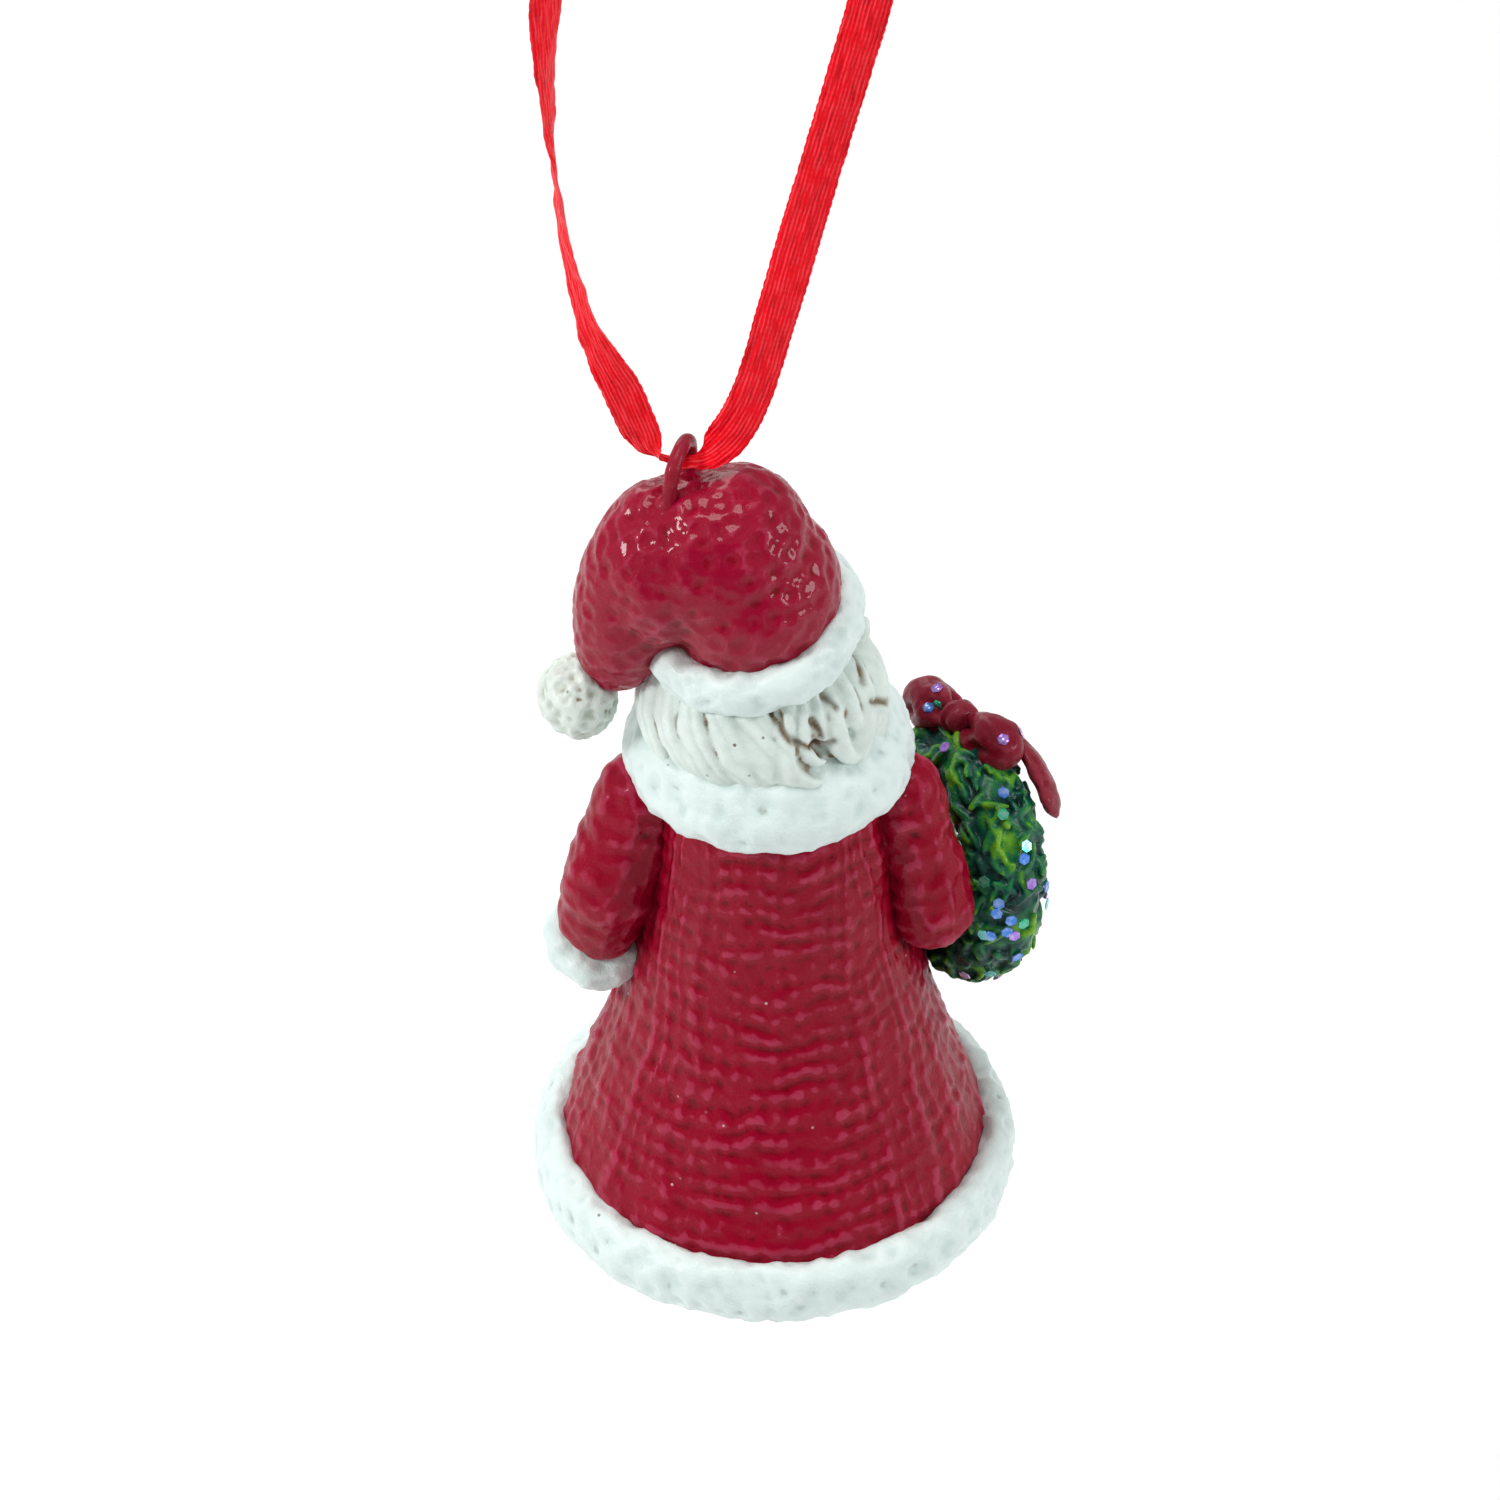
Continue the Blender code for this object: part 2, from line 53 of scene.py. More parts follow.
RIM_CENTRE = Vector(((HEM_LOW.x + HEM_HIGH.x) / 2, (HEM_LOW.y + HEM_HIGH.y) / 2, HEM_LOW.z))
PLACE = Matrix.Translation(RIM_CENTRE) @ Matrix.Diagonal((MM, MM, MM, 1.0))
ROOT = bpy.context.scene.collection

# The casting's main shapes
ROBE_OUTLINE = ((0.3, 17.3), (5.0, 17.2), (8.0, 16.3), (11.0, 15.3), (14.0, 14.3), (17.5, 13.2),
                (21.0, 12.3), (25.0, 11.4), (30.0, 10.6), (36.0, 9.9), (41.0, 9.2), (43.4, 7.9),
                (45.0, 6.4), (45.6, 5.2))
WALL, CEILING = 2.0, 38.0
LEFT_ARM = ((10.5, 0.8, 40.2), (13.0, 2.0, 32.0), (13.8, 1.0, 27.6))
RIGHT_ARM = ((-9.9, 0.8, 40.2), (-12.3, 1.8, 29.6), (-10.2, -7.4, 26.8))
HAT_TILT = radians(11.7)
CAP_FOOT, CAP_PIT = 51.0, Vector((10.9, 5.2, 63.3))
CAP_LUMPS = (((1.9, 0.3, 60.4), (6.9, 7.5, 7.0)), ((3.0, 0.3, 63.0), (6.2, 6.8, 7.8)),
             ((5.2, 0.3, 63.3), (6.2, 6.8, 7.5)), ((8.2, 0.3, 62.8), (5.6, 6.2, 6.8)))
CAP_TIP, CAP_TIP_LEAN = ((10.7, 0.4, 60.4), (4.5, 4.7, 9.7)), radians(-13)
BRIM_CENTRE, BRIM_LIFT = (1.7, 0.3, 56.9), radians(-9.0)
HAIR_CENTRE, HAIR_RADII = Vector((1.0, 0.6, 46.0)), Vector((9.3, 8.4, 12.0))
HAIR_FRONT, HAIR_LOW = -4.6, 43.6
HEAD_CENTRE, HEAD_RADII = Vector((1.4, -0.8, 53.0)), Vector((6.3, 6.6, 7.0))
FACE_MIDDLE = 1.3
BEARD_CENTRE, BEARD_RADII = Vector((1.0, -7.6, 44.0)), Vector((6.4, 4.2, 7.2))
WREATH_CENTRE = Vector((-15.0, -7.0, 27.5))
WREATH_MEAN, WREATH_TUBE = 7.5, 3.2

# The ribbon's two runs from the eye up to the knot, as (x, height), and its turn at each height
RIBBON_PLANE, RIBBON_WIDTH, RIBBON_THICK, RIBBON_LENGTH = -0.7, 3.2, 0.16, 0.172
LEFT_RUN = ((7.05, 71.6), (9.2, 72.3), (10.1, 74.3), (11.4, 78.0), (12.9, 81.6), (14.1, 85.2),
            (15.5, 92.3), (16.2, 99.3), (16.45, 107.0), (16.3, 114.0), (15.6, 123.0), (13.8, 132.5),
            (10.6, 141.5), (7.3, 147.6), (5.8, 150.4), (5.0, 152.2))
RIGHT_RUN = ((7.05, 71.6), (5.3, 72.1), (3.4, 74.3), (1.8, 78.0), (0.0, 85.1), (-1.7, 92.3),
             (-3.4, 99.3), (-5.1, 106.3), (-6.7, 113.2), (-7.9, 121.0), (-7.4, 130.5), (-4.3, 140.0),
             (0.6, 147.3), (3.0, 150.4), (3.9, 152.2))
LEFT_TURN = ((71.6, 90), (72.0, 116), (72.7, 145), (74.5, 168), (78.5, 176), (82.0, 150),
             (86.0, 124), (92.0, 109), (99.1, 95), (102.6, 74), (113.0, 45), (125.0, 20),
             (140.0, 5), (160.0, 0))
RIGHT_TURN = ((71.6, 90), (72.0, 66), (72.7, 36), (74.5, 12), (77.5, 2), (81.0, -6), (90.0, 6),
              (100.0, -5), (113.0, 5), (130.0, 0), (160.0, 0))
KNOT_CENTRE, KNOT_RADII = Vector((4.4, RIBBON_PLANE, 153.4)), Vector((2.7, 2.1, 2.3))
TAILS = (((5.7, 155.2), (7.4, 159.0), (10.0, 162.6)), ((3.1, 155.2), (1.2, 159.3), (-1.8, 162.2)))


# ---- drawing helpers

def clamped(value):
    return min(1.0, max(0.0, value))


def peak(distance, width):
    """1 at no distance, falling smoothly towards 0 beyond width."""
    return exp(-(distance / width) ** 2)


def arc(count, start=0.0, turn=2 * pi):
    """Angles from start through turn in equal steps, with both ends."""
    return [start + turn * step / count for step in range(count + 1)]


def mesh_of(shape, name):
    mesh = bpy.data.meshes.new(name)
    shape.to_mesh(mesh)
    shape.free()
    return mesh


def linked(name, data):
    thing = bpy.data.objects.new(name, data)
    ROOT.objects.link(thing)
    return thing


def moved(shape, matrix):
    bmesh.ops.transform(shape, matrix=matrix, verts=shape.verts)
    return shape


def settle(shape, name, body, slot, finish, *nodes):
    """Put a drawn shape in its place, smooth, tie it to its body and hide its CAD nodes; slot is not
    used.
    """
    for face in moved(shape, PLACE).faces:
        face.smooth = True
    mesh = mesh_of(shape, name)
    for each in finish if isinstance(finish, tuple) else (finish,):
        mesh.materials.append(each)
    piece = linked(name, mesh)
    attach(piece, body)
    if nodes:
        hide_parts(*nodes)
    return piece


def lengths_along(points):
    """The distance travelled to each point."""
    lengths = [0.0]
    for first, second in zip(points, points[1:]):
        lengths.append(lengths[-1] + (second - first).length)
    return lengths


def step_along(points, v):
    """The index, place and direction of travel at a share v of the way through points."""
    last = len(points) - 1
    index = min(round(v * last), last)
    travel = points[min(index + 1, last)] - points[max(index - 1, 0)]
    return index, points[index], travel.normalized()


def smooth_line(points, count, ring=False):
    """Evenly spaced points on a smooth line through the given ones."""
    route = [Vector(point) for point in points]
    if ring:
        ends = [route[-1]] + route + [route[0], route[1]]
    else:
        ends = [2 * route[0] - route[1]] + route + [2 * route[-1] - route[-2]]
    fine = []
    for before, start, end, after in zip(ends, ends[1:], ends[2:], ends[3:]):
        for step in range(20):
            t = step / 20
            fine.append(0.5 * (2 * start + (end - before) * t
                               + (2 * before - 5 * start + 4 * end - after) * t * t
                               + (3 * start - before - 3 * end + after) * t ** 3))
    fine.append(fine[0].copy() if ring else route[-1])
    along = lengths_along(fine)
    places, index = [], 0
    steps = count if ring else count - 1
    for step in range(count):
        target = along[-1] * step / steps
        while index < len(fine) - 2 and along[index + 1] < target:
            index += 1
        gap = max(along[index + 1] - along[index], 1e-9)
        places.append(fine[index].lerp(fine[index + 1], (target - along[index]) / gap))
    return places


def between(stops, at):
    """A smooth step between the (place, value) stops."""
    if at <= stops[0][0]:
        return stops[0][1]
    for (low, first), (high, second) in zip(stops, stops[1:]):
        if at <= high:
            share = (at - low) / (high - low)
            return first + (second - first) * share * share * (3 - 2 * share)
    return stops[-1][1]


def spun(profile, steps, ring=False):
    """Turn (radius, height) points about the upright axis."""
    shape = bmesh.new()
    line = [shape.verts.new((point[0], 0.0, point[1])) for point in profile]
    edges = [shape.edges.new(pair) for pair in zip(line, line[1:])]
    if ring:
        edges.append(shape.edges.new((line[-1], line[0])))
    bmesh.ops.spin(shape, geom=line + edges, cent=(0, 0, 0), axis=(0, 0, 1), dvec=(0, 0, 0),
                   angle=2 * pi, steps=steps, use_merge=True, use_duplicate=False)
    return closed(shape)


def closed(shape):
    """Weld seams and poles and point the faces outward."""
    bmesh.ops.remove_doubles(shape, verts=shape.verts, dist=0.0005)
    bmesh.ops.recalc_face_normals(shape, faces=shape.faces)
    return shape


def skin(across, along, place, uv=None):
    """A sheet of faces whose corners are set by place(u, v), with its own map if uv is given."""
    shape = bmesh.new()
    bmesh.ops.create_grid(shape, x_segments=across, y_segments=along, size=0.5)
    if uv:
        layer = shape.loops.layers.uv.new("UVMap")
        for face in shape.faces:
            for loop in face.loops:
                loop[layer].uv = uv(loop.vert.co.x + 0.5, loop.vert.co.y + 0.5)
    for vert in shape.verts:
        vert.co = place(vert.co.x + 0.5, vert.co.y + 0.5)
    return closed(shape)


def ball(shape, centre, radii, turn=(0, 0, 0), around=32, rings=20):
    """Add an ellipsoid to a shape."""
    turned = Matrix.LocRotScale(Vector(centre), None, None)
    for axis, angle in zip("XYZ", turn):
        turned = turned @ Matrix.Rotation(angle, 4, axis)
    bmesh.ops.create_uvsphere(shape, u_segments=around, v_segments=rings, radius=1.0,
                              matrix=turned @ Matrix.Diagonal((*radii, 1.0)))
    return shape


def rope(points, width, thick, facing, around=14, strands=0.0, count=3):
    """A closed round or flat strand through points; width and thick are radii at each share."""

    def place(u, v):
        _, here, along = step_along(points, v)
        out = facing(here)
        side = along.cross(out).normalized()
        out = side.cross(along).normalized()
        angle = 2 * pi * u
        swell = 1.0 + strands * cos(count * angle)
        return here + (side * cos(angle) * width(v) + out * sin(angle) * thick(v)) * swell

    return skin(around, len(points) - 1, place)


def add(shape, other):
    """Add another shape to this one."""
    mesh = mesh_of(other, "added")
    shape.from_mesh(mesh)
    bpy.data.meshes.remove(mesh)
    return shape


def soften(shape, rounds, factor=0.5):
    for _ in range(rounds):
        bmesh.ops.smooth_vert(shape, verts=shape.verts, factor=factor, use_axis_x=True,
                              use_axis_y=True, use_axis_z=True)
    return shape


def melted(shape, voxel, rounds):
    """Melt overlapping lumps into one skin and soften it."""
    mesh = mesh_of(shape, "lump")
    lump = linked("lump", mesh)
    step = lump.modifiers.new("melt", "REMESH")
    step.mode = "VOXEL"
    step.voxel_size = voxel
    bpy.context.view_layer.update()
    made = bpy.data.meshes.new_from_object(lump.evaluated_get(
        bpy.context.evaluated_depsgraph_get()))
    bpy.data.objects.remove(lump, do_unlink=True)
    bpy.data.meshes.remove(mesh)
    whole = bmesh.new()
    whole.from_mesh(made)
    bpy.data.meshes.remove(made)
    bmesh.ops.recalc_face_normals(whole, faces=whole.faces)
    return soften(whole, rounds)


def press(shape, height_at):
    """Move each corner along its normal by height_at(place, normal)."""
    shape.normal_update()
    moves = [vert.normal * height_at(vert.co, vert.normal) for vert in shape.verts]
    for vert, move in zip(shape.verts, moves):
        vert.co += move
    return shape


def mark_hollows(shape, rounds, depth):
    """Store in "hollow" how deep each corner lies (0) or how proud it stands (1)."""
    shape.normal_update()
    layer = shape.verts.layers.float.new("hollow")
    places = [vert.co.copy() for vert in shape.verts]
    normals = [vert.normal.copy() for vert in shape.verts]
    soften(shape, rounds, 0.9)
    for vert, place, normal in zip(shape.verts, places, normals):
        proud = (place - vert.co).dot(normal)
        vert[layer] = clamped(0.5 + 0.5 * proud / depth)
        vert.co = place
    return shape


def cast(shape, name, slot, finish, *nodes, rounds=6, depth=0.10):
    """Mark a part of the casting's hollows and put it in its place on the figure."""
    return settle(mark_hollows(shape, rounds, depth), name, "bell_figure", slot, finish, *nodes)


def cut_away(shape, at, facing):
    """Cut off what lies beyond a plane and close the cut."""
    bmesh.ops.bisect_plane(shape, geom=shape.verts[:] + shape.edges[:] + shape.faces[:],
                           plane_co=at, plane_no=facing, clear_outer=True)
    bmesh.ops.holes_fill(shape, edges=shape.edges, sides=0)


def cells(place, size, seed=0.0):
    """Distance to the nearest cell centre, in cells."""
    return noise.voronoi(place / size + Vector((seed, seed, seed)))[0][0]


def lumps(place, size, seed=0.0):
    """Smooth noise from -1 to 1 with lumps about this size."""
    return noise.noise(place / size + Vector((seed, -seed, seed)))


def bumpy(*layers):
    """Heights made of (depth, size, seed) layers of lumps."""
    return lambda place, normal: sum(depth * lumps(place, *kind) for depth, *kind in layers)


def dents(cell, depth, seed, rough=0.25, *layers):
    """Broad hammered dents with soft ridges between them, with layers of lumps over them."""
    swell = bumpy(*layers)

    def height_at(place, normal):
        wobble = place + Vector((0.3, 0.3, 0.3)) * lumps(place, cell * 0.6, seed)
        dent = min(cells(wobble, cell, seed), 0.7) / 0.7
        fine = depth * rough * lumps(place, cell * 0.35, seed + 3)
        return depth * (dent * dent - 0.8) + fine + swell(place, normal)

    return height_at


# ---- finishes

def new_finish(name, roughness, **sockets):
    """A finish with its shader; sockets are named with _ for each space."""
    finish = bpy.data.materials.new(name)
    finish.use_nodes = True
    shader = finish.node_tree.nodes["Principled BSDF"]
    shader.inputs["Roughness"].default_value = roughness
    for socket, value in sockets.items():
        shader.inputs[socket.replace("_", " ")].default_value = value
    return finish, finish.node_tree, shader


def put(tree, kind, links=(), **values):
    """Add a node, set its values by name or socket number, and link its inputs."""
    node = tree.nodes.new(kind)
    for key, value in values.items():
        setattr(node, key, value)
    for socket, source in links:
        if isinstance(source, bpy.types.NodeSocket):
            tree.links.new(source, node.inputs[socket])
        else:
            node.inputs[socket].default_value = source
    return node


def object_place(tree, stretch=(1, 1, 1), turn=(0, 0, 0)):
    where = put(tree, "ShaderNodeTexCoord").outputs["Object"]
    return put(tree, "ShaderNodeMapping", (("Vector", where), ("Scale", stretch),
                                           ("Rotation", turn))).outputs[0]


def grain(tree, size, detail=2.0, stretch=(1, 1, 1), turn=(0, 0, 0)):
    """Noise whose lumps are about this many millimetres across."""
    node = put(tree, "ShaderNodeTexNoise", (("Vector", object_place(tree, stretch, turn)),
                                            ("Scale", 1 / (size * MM)), ("Detail", detail)))
    return node.outputs["Fac"]


def spots(tree, size, reach):
    """Small round spots, one to a cell of this size, out to reach of the cell."""
    node = put(tree, "ShaderNodeTexVoronoi", (("Vector", object_place(tree)),
                                              ("Scale", 1 / (size * MM)), ("Randomness", 1.0)))
    return ranged(tree, node.outputs["Distance"], reach, reach * 0.6, 0.0, 1.0)


def marked(tree, name):
    return put(tree, "ShaderNodeAttribute", attribute_name=name).outputs["Fac"]


def ranged(tree, value, low, high, new_low, new_high):
    return put(tree, "ShaderNodeMapRange", ((0, value), (1, low), (2, high), (3, new_low),
                                            (4, new_high)), clamp=True).outputs[0]


def worked(tree, operation, first, second=0.0):
    return put(tree, "ShaderNodeMath", ((0, first), (1, second)), operation=operation).outputs[0]


def times(tree, first, second):
    return worked(tree, "MULTIPLY", first, second)


def total(tree, first, second):
    return worked(tree, "ADD", first, second)


def uneven(tree, size, low, high, detail=3.0):
    """A value that wanders between low and high, as paint or metal does."""
    return ranged(tree, grain(tree, size, detail), 0.3, 0.7, low, high)


def shades(tree, factor, *stops, steps="EASE"):
    """A colour ramp of (place, colour) stops."""
    node = put(tree, "ShaderNodeValToRGB", ((0, factor),))
    ramp = node.color_ramp
    ramp.interpolation = steps
    while len(ramp.elements) < len(stops):
        ramp.elements.new(0.5)
    for element, (place, colour) in zip(ramp.elements, stops):
        element.position = place
        element.color = (*colour, 1.0)
    return node.outputs[0]


def dimmed(colour, share):
    return tuple(channel * share for channel in colour)


def mixed(tree, factor, first, second):
    """Mix two colours."""
    node = put(tree, "ShaderNodeMix", data_type="RGBA")
    for socket, source in ((0, factor), (6, first), (7, second)):
        if isinstance(source, bpy.types.NodeSocket):
            tree.links.new(source, node.inputs[socket])
        elif socket:
            node.inputs[socket].default_value = (*source, 1.0)
        else:
            node.inputs[socket].default_value = source
    return node.outputs[2]


def dress(tree, shader, colour, rough, height, depth):
    """Link colour, roughness and bump to the shader; depth is in millimetres."""
    tree.links.new(colour, shader.inputs["Base Color"])
    tree.links.new(rough, shader.inputs["Roughness"])
    bump = put(tree, "ShaderNodeBump", (("Height", height), ("Distance", depth * MM),
                                        ("Strength", 1.0)))
    tree.links.new(bump.outputs[0], shader.inputs["Normal"])


def painted_red(name, deep, body, proud, speck=0.0, gloss=0.3, coat=0.15):
    """Glossy red paint with painted shade in the hollows and a painted pinkish sheen on the ridges."""
    finish, tree, shader = new_finish(name, gloss, Specular_IOR_Level=0.06, Coat_Weight=coat,
                                      Coat_Roughness=0.09)
    relief = total(tree, marked(tree, "hollow"), times(tree, grain(tree, 0.8), 0.5))
    # Painted shade and sheen: the colour runs from darkened red in the deepest creases and deep red in
    # hollows to a pinkish sheen on ridges.
    colour = shades(tree, ranged(tree, relief, 0.2, 1.2, 0.0, 1.0), (0.0, dimmed(deep, 0.5)),
                    (0.15, deep), (0.45, body), (0.70, body), (1.0, proud))
    cloudy = ranged(tree, grain(tree, 3.5, 3.0), 0.35, 0.7, 0.0, 0.5)
    colour = mixed(tree, cloudy, colour, dimmed(body, 0.8))
    if speck:
        dust = times(tree, spots(tree, 1.6, 0.09), ranged(tree, grain(tree, 5.0), 0.57, 0.66, 0, speck))
        colour = mixed(tree, dust, colour, (0.75, 0.62, 0.62))
    height = total(tree, grain(tree, 0.35, 3.0), grain(tree, 0.12))
    dress(tree, shader, colour, uneven(tree, 1.4, gloss - 0.07, gloss + 0.12), height, 0.05)
    return finish


def painted_white(name, pale, shadow, stain, staining, reach=0.30, gloss=0.42):
    """Cool white paint with painted shadow in its dents, stain left in its hollows and a few dark
    specks.
    """
    finish, tree, shader = new_finish(name, gloss, Coat_Weight=0.15, Coat_Roughness=0.25)
    relief = total(tree, marked(tree, "hollow"), times(tree, grain(tree, 1.5, 3.0), 0.5))
    # Painted shadow: the paint runs from the shadow colour in the dents to the pale colour on the rims.
    colour = mixed(tree, ranged(tree, relief, 0.4, 1.0, 0.0, 1.0), shadow, pale)
    low = ranged(tree, marked(tree, "hollow"), reach, reach * 0.3, 0.0, 1.0)
    patchy = ranged(tree, grain(tree, 3.0), 0.48, 0.56, 0.0, staining)
    low = worked(tree, "MAXIMUM", times(tree, low, patchy), marked(tree, "stained"))
    colour = mixed(tree, low, colour, stain)
    wash = ranged(tree, grain(tree, 4.5, 2.0), 0.5, 0.75, 0.0, 0.3)
    colour = mixed(tree, wash, colour, dimmed(shadow, 0.86))
    dark = times(tree, spots(tree, 2.6, 0.07), ranged(tree, grain(tree, 4.0), 0.5, 0.58, 0.0, 0.9))
    colour = mixed(tree, dark, colour, dimmed(stain, 0.6))
    height = total(tree, grain(tree, 0.5, 3.0), grain(tree, 0.15))
    dress(tree, shader, colour, uneven(tree, 1.0, gloss - 0.06, gloss + 0.14), height, 0.05)
    return finish


def foliage():
    finish, tree, shader = new_finish("foliage_paint", 0.36, Specular_IOR_Level=0.3, Coat_Weight=0.12,
                                      Coat_Roughness=0.15)
    tint = total(tree, marked(tree, "tint"), times(tree, grain(tree, 0.5, 3.0), 0.5))
    colour = shades(tree, ranged(tree, tint, 0.1, 1.1, 0.0, 1.0), (0.0, (0.0, 0.016, 0.015)),
                    (0.35, (0.0, 0.062, 0.045)), (0.6, (0.004, 0.15, 0.045)),
                    (0.8, (0.07, 0.29, 0.010)), (1.0, (0.16, 0.40, 0.02)))
    dress(tree, shader, colour, uneven(tree, 0.7, 0.22, 0.45, 2.0), grain(tree, 0.2, 3.0), 0.06)
    return finish


def glitter():
    finish, tree, shader = new_finish("glitter_flake", 0.22, Metallic=0.55)
    colour = shades(tree, marked(tree, "tint"), (0.0, (0.0, 0.45, 0.22)), (0.2, (0.05, 0.62, 0.55)),
                    (0.4, (0.06, 0.22, 0.72)), (0.6, (0.42, 0.18, 0.75)), (0.8, (0.62, 0.5, 0.8)),
                    steps="CONSTANT")
    colour = mixed(tree, ranged(tree, grain(tree, 0.5), 0.4, 0.7, 0.0, 0.35), colour,
                   (0.75, 0.85, 0.95))
    dress(tree, shader, colour, uneven(tree, 0.3, 0.12, 0.3, 2.0), grain(tree, 0.1), 0.01)
    return finish


def skin_paint():
    finish, tree, shader = new_finish("skin_paint", 0.42, Coat_Weight=0.15, Coat_Roughness=0.3,
                                      Subsurface_Weight=0.05, Subsurface_Scale=0.0005)
    blush = marked(tree, "blush")
    colour = mixed(tree, blush, (0.78, 0.46, 0.33), (0.72, 0.20, 0.16))
    low = ranged(tree, marked(tree, "hollow"), 0.42, 0.1, 0.0, 0.6)
    colour = mixed(tree, low, colour, (0.34, 0.14, 0.08))
    colour = mixed(tree, ranged(tree, grain(tree, 1.5, 3.0), 0.4, 0.7, 0.0, 0.2), colour,
                   (0.66, 0.36, 0.25))
    dress(tree, shader, colour, uneven(tree, 0.8, 0.34, 0.5, 2.0), grain(tree, 0.3, 3.0), 0.03)
    return finish


def satin():
    """Woven satin: lengthwise threads across its width and a fine cross weave, on its own map."""
    finish, tree, shader = new_finish("ribbon_satin", 0.4, Specular_IOR_Level=0.12)
    where = put(tree, "ShaderNodeTexCoord").outputs["UV"]
    split = put(tree, "ShaderNodeSeparateXYZ", ((0, where),))
    width, length = split.outputs[0], split.outputs[1]
    waver = ranged(tree, grain(tree, 1.6, 3.0), 0.0, 1.0, -1.6, 1.6)
    thread = total(tree, times(tree, width, 2 * pi / 0.30), waver)
    thread = ranged(tree, worked(tree, "SINE", thread), -1.0, 1.0, 0.0, 1.0)
    slub = put(tree, "ShaderNodeTexNoise", (("Vector", put(tree, "ShaderNodeMapping", (
        ("Vector", where), ("Scale", (4.5, 0.55, 1.0)))).outputs[0]), ("Scale", 1.0),
        ("Detail", 3.0))).outputs["Fac"]
    pick = ranged(tree, worked(tree, "SINE", times(tree, length, 2 * pi / 0.5)), -1.0, 1.0, 0.0, 1.0)
    weave = total(tree, times(tree, thread, 0.88), times(tree, pick, 0.12))
    tone = total(tree, times(tree, weave, 0.35), times(tree, slub, 0.85))
    colour = shades(tree, tone, (0.28, (0.42, 0.0, 0.004)), (0.44, (0.86, 0.0, 0.008)),
                    (0.64, (0.95, 0.0, 0.012)), (0.8, (1.0, 0.05, 0.07)))
    rough = ranged(tree, slub, 0.3, 0.7, 0.3, 0.5)
    dress(tree, shader, colour, rough, weave, 0.05)
    return finish


def metal(name, bright, dull, roughness):
    finish, tree, shader = new_finish(name, roughness, Metallic=1.0)
    worn = ranged(tree, grain(tree, 1.2, 4.0), 0.35, 0.7, 0.0, 1.0)
    colour = mixed(tree, worn, bright, dull)
    brushed = grain(tree, 0.5, 3.0, stretch=(1, 1, 8))
    rough = ranged(tree, brushed, 0.3, 0.7, roughness - 0.08, roughness + 0.15)
    dress(tree, shader, colour, rough, brushed, 0.01)
    return finish


def plain_paint(name, base, shade, gloss, size=0.8):
    """One colour of paint with cloudy shading and brushed unevenness."""
    finish, tree, shader = new_finish(name, gloss, Coat_Weight=0.3, Coat_Roughness=0.15)
    colour = mixed(tree, uneven(tree, size, 0.0, 1.0), base, shade)
    rough = uneven(tree, size * 0.7, gloss - 0.06, gloss + 0.12)
    dress(tree, shader, colour, rough, grain(tree, size * 0.4, 3.0), 0.04)
    return finish


# ---- camera and studio

BACK_VIEW = Vector((0.0, cos(radians(40)), sin(radians(40))))
DIM_SIDE = Vector((0.0, cos(radians(20)), sin(radians(20))))
LENS, VIEW_CENTRE, VIEW_DISTANCE = 138.3, Vector((1.97, 0.0, 43.9)), 0.45
FLOOR_DROP = 0.075


def make_camera():
    """The shown view: from behind and 40 degrees above."""
    data = bpy.data.cameras.new("camera")
    data.lens, data.sensor_width = LENS, 36.0
    data.clip_start, data.clip_end = 0.01, 20.0
    camera = linked("camera", data)
    camera.location = PLACE @ VIEW_CENTRE + BACK_VIEW * VIEW_DISTANCE
    camera.rotation_euler = (-BACK_VIEW).to_track_quat("-Z", "Y").to_euler()
    bpy.context.scene.camera = camera


def soft_light(name, place, size, power):
    data = bpy.data.lights.new(name, "AREA")
    data.shape, data.size, data.energy = "DISK", size, power
    lamp = linked(name, data)
    lamp.location = RIM_CENTRE + Vector(place)
    lamp.rotation_euler = Vector(place).to_track_quat("Z", "Y").to_euler()


def make_studio():
    """White surroundings, dimmer straight behind the camera, with soft lamps and a pale floor."""
    world = bpy.data.worlds.new("studio")
    bpy.context.scene.world = world
    world.use_nodes = True
    tree = world.node_tree
    sky = put(tree, "ShaderNodeTexCoord").outputs["Generated"]
    facing = put(tree, "ShaderNodeVectorMath", ((0, sky), (1, DIM_SIDE)), operation="DOT_PRODUCT")
    dim = ranged(tree, facing.outputs["Value"], 0.85, 0.95, 0.0, 0.95)
    colour = mixed(tree, dim, (1.0, 1.0, 1.0), (0.24, 0.24, 0.245))
    background = tree.nodes["Background"]
    tree.links.new(colour, background.inputs["Color"])
    background.inputs["Strength"].default_value = 0.42
    soft_light("left_lamp", (0.60, 0.22, 0.48), 0.20, 3.0)
    soft_light("right_lamp", (-0.65, 0.18, 0.30), 0.26, 1.6)
    soft_light("top_lamp", (0.05, 0.0, 0.85), 0.36, 2.6)
    soft_light("front_lamp", (0.25, -0.70, 0.35), 0.40, 1.3)
    shape = bmesh.new()
    bmesh.ops.create_grid(shape, x_segments=8, y_segments=8, size=1.2)
    bmesh.ops.translate(shape, verts=shape.verts, vec=RIM_CENTRE + Vector((0, 0, -FLOOR_DROP)))
    mesh = mesh_of(shape, "floor")
    finish, tree, shader = new_finish("floor_paper", 0.9)
    tree.links.new(mixed(tree, grain(tree, 40.0), (0.97, 0.97, 0.97), (0.955, 0.955, 0.96)),
                   shader.inputs["Base Color"])
    mesh.materials.append(finish)
    linked("floor", mesh)


# ---- the ribbon

def ribbon_line(points, count):
    return smooth_line([(x, RIBBON_PLANE, height) for x, height in points], count)


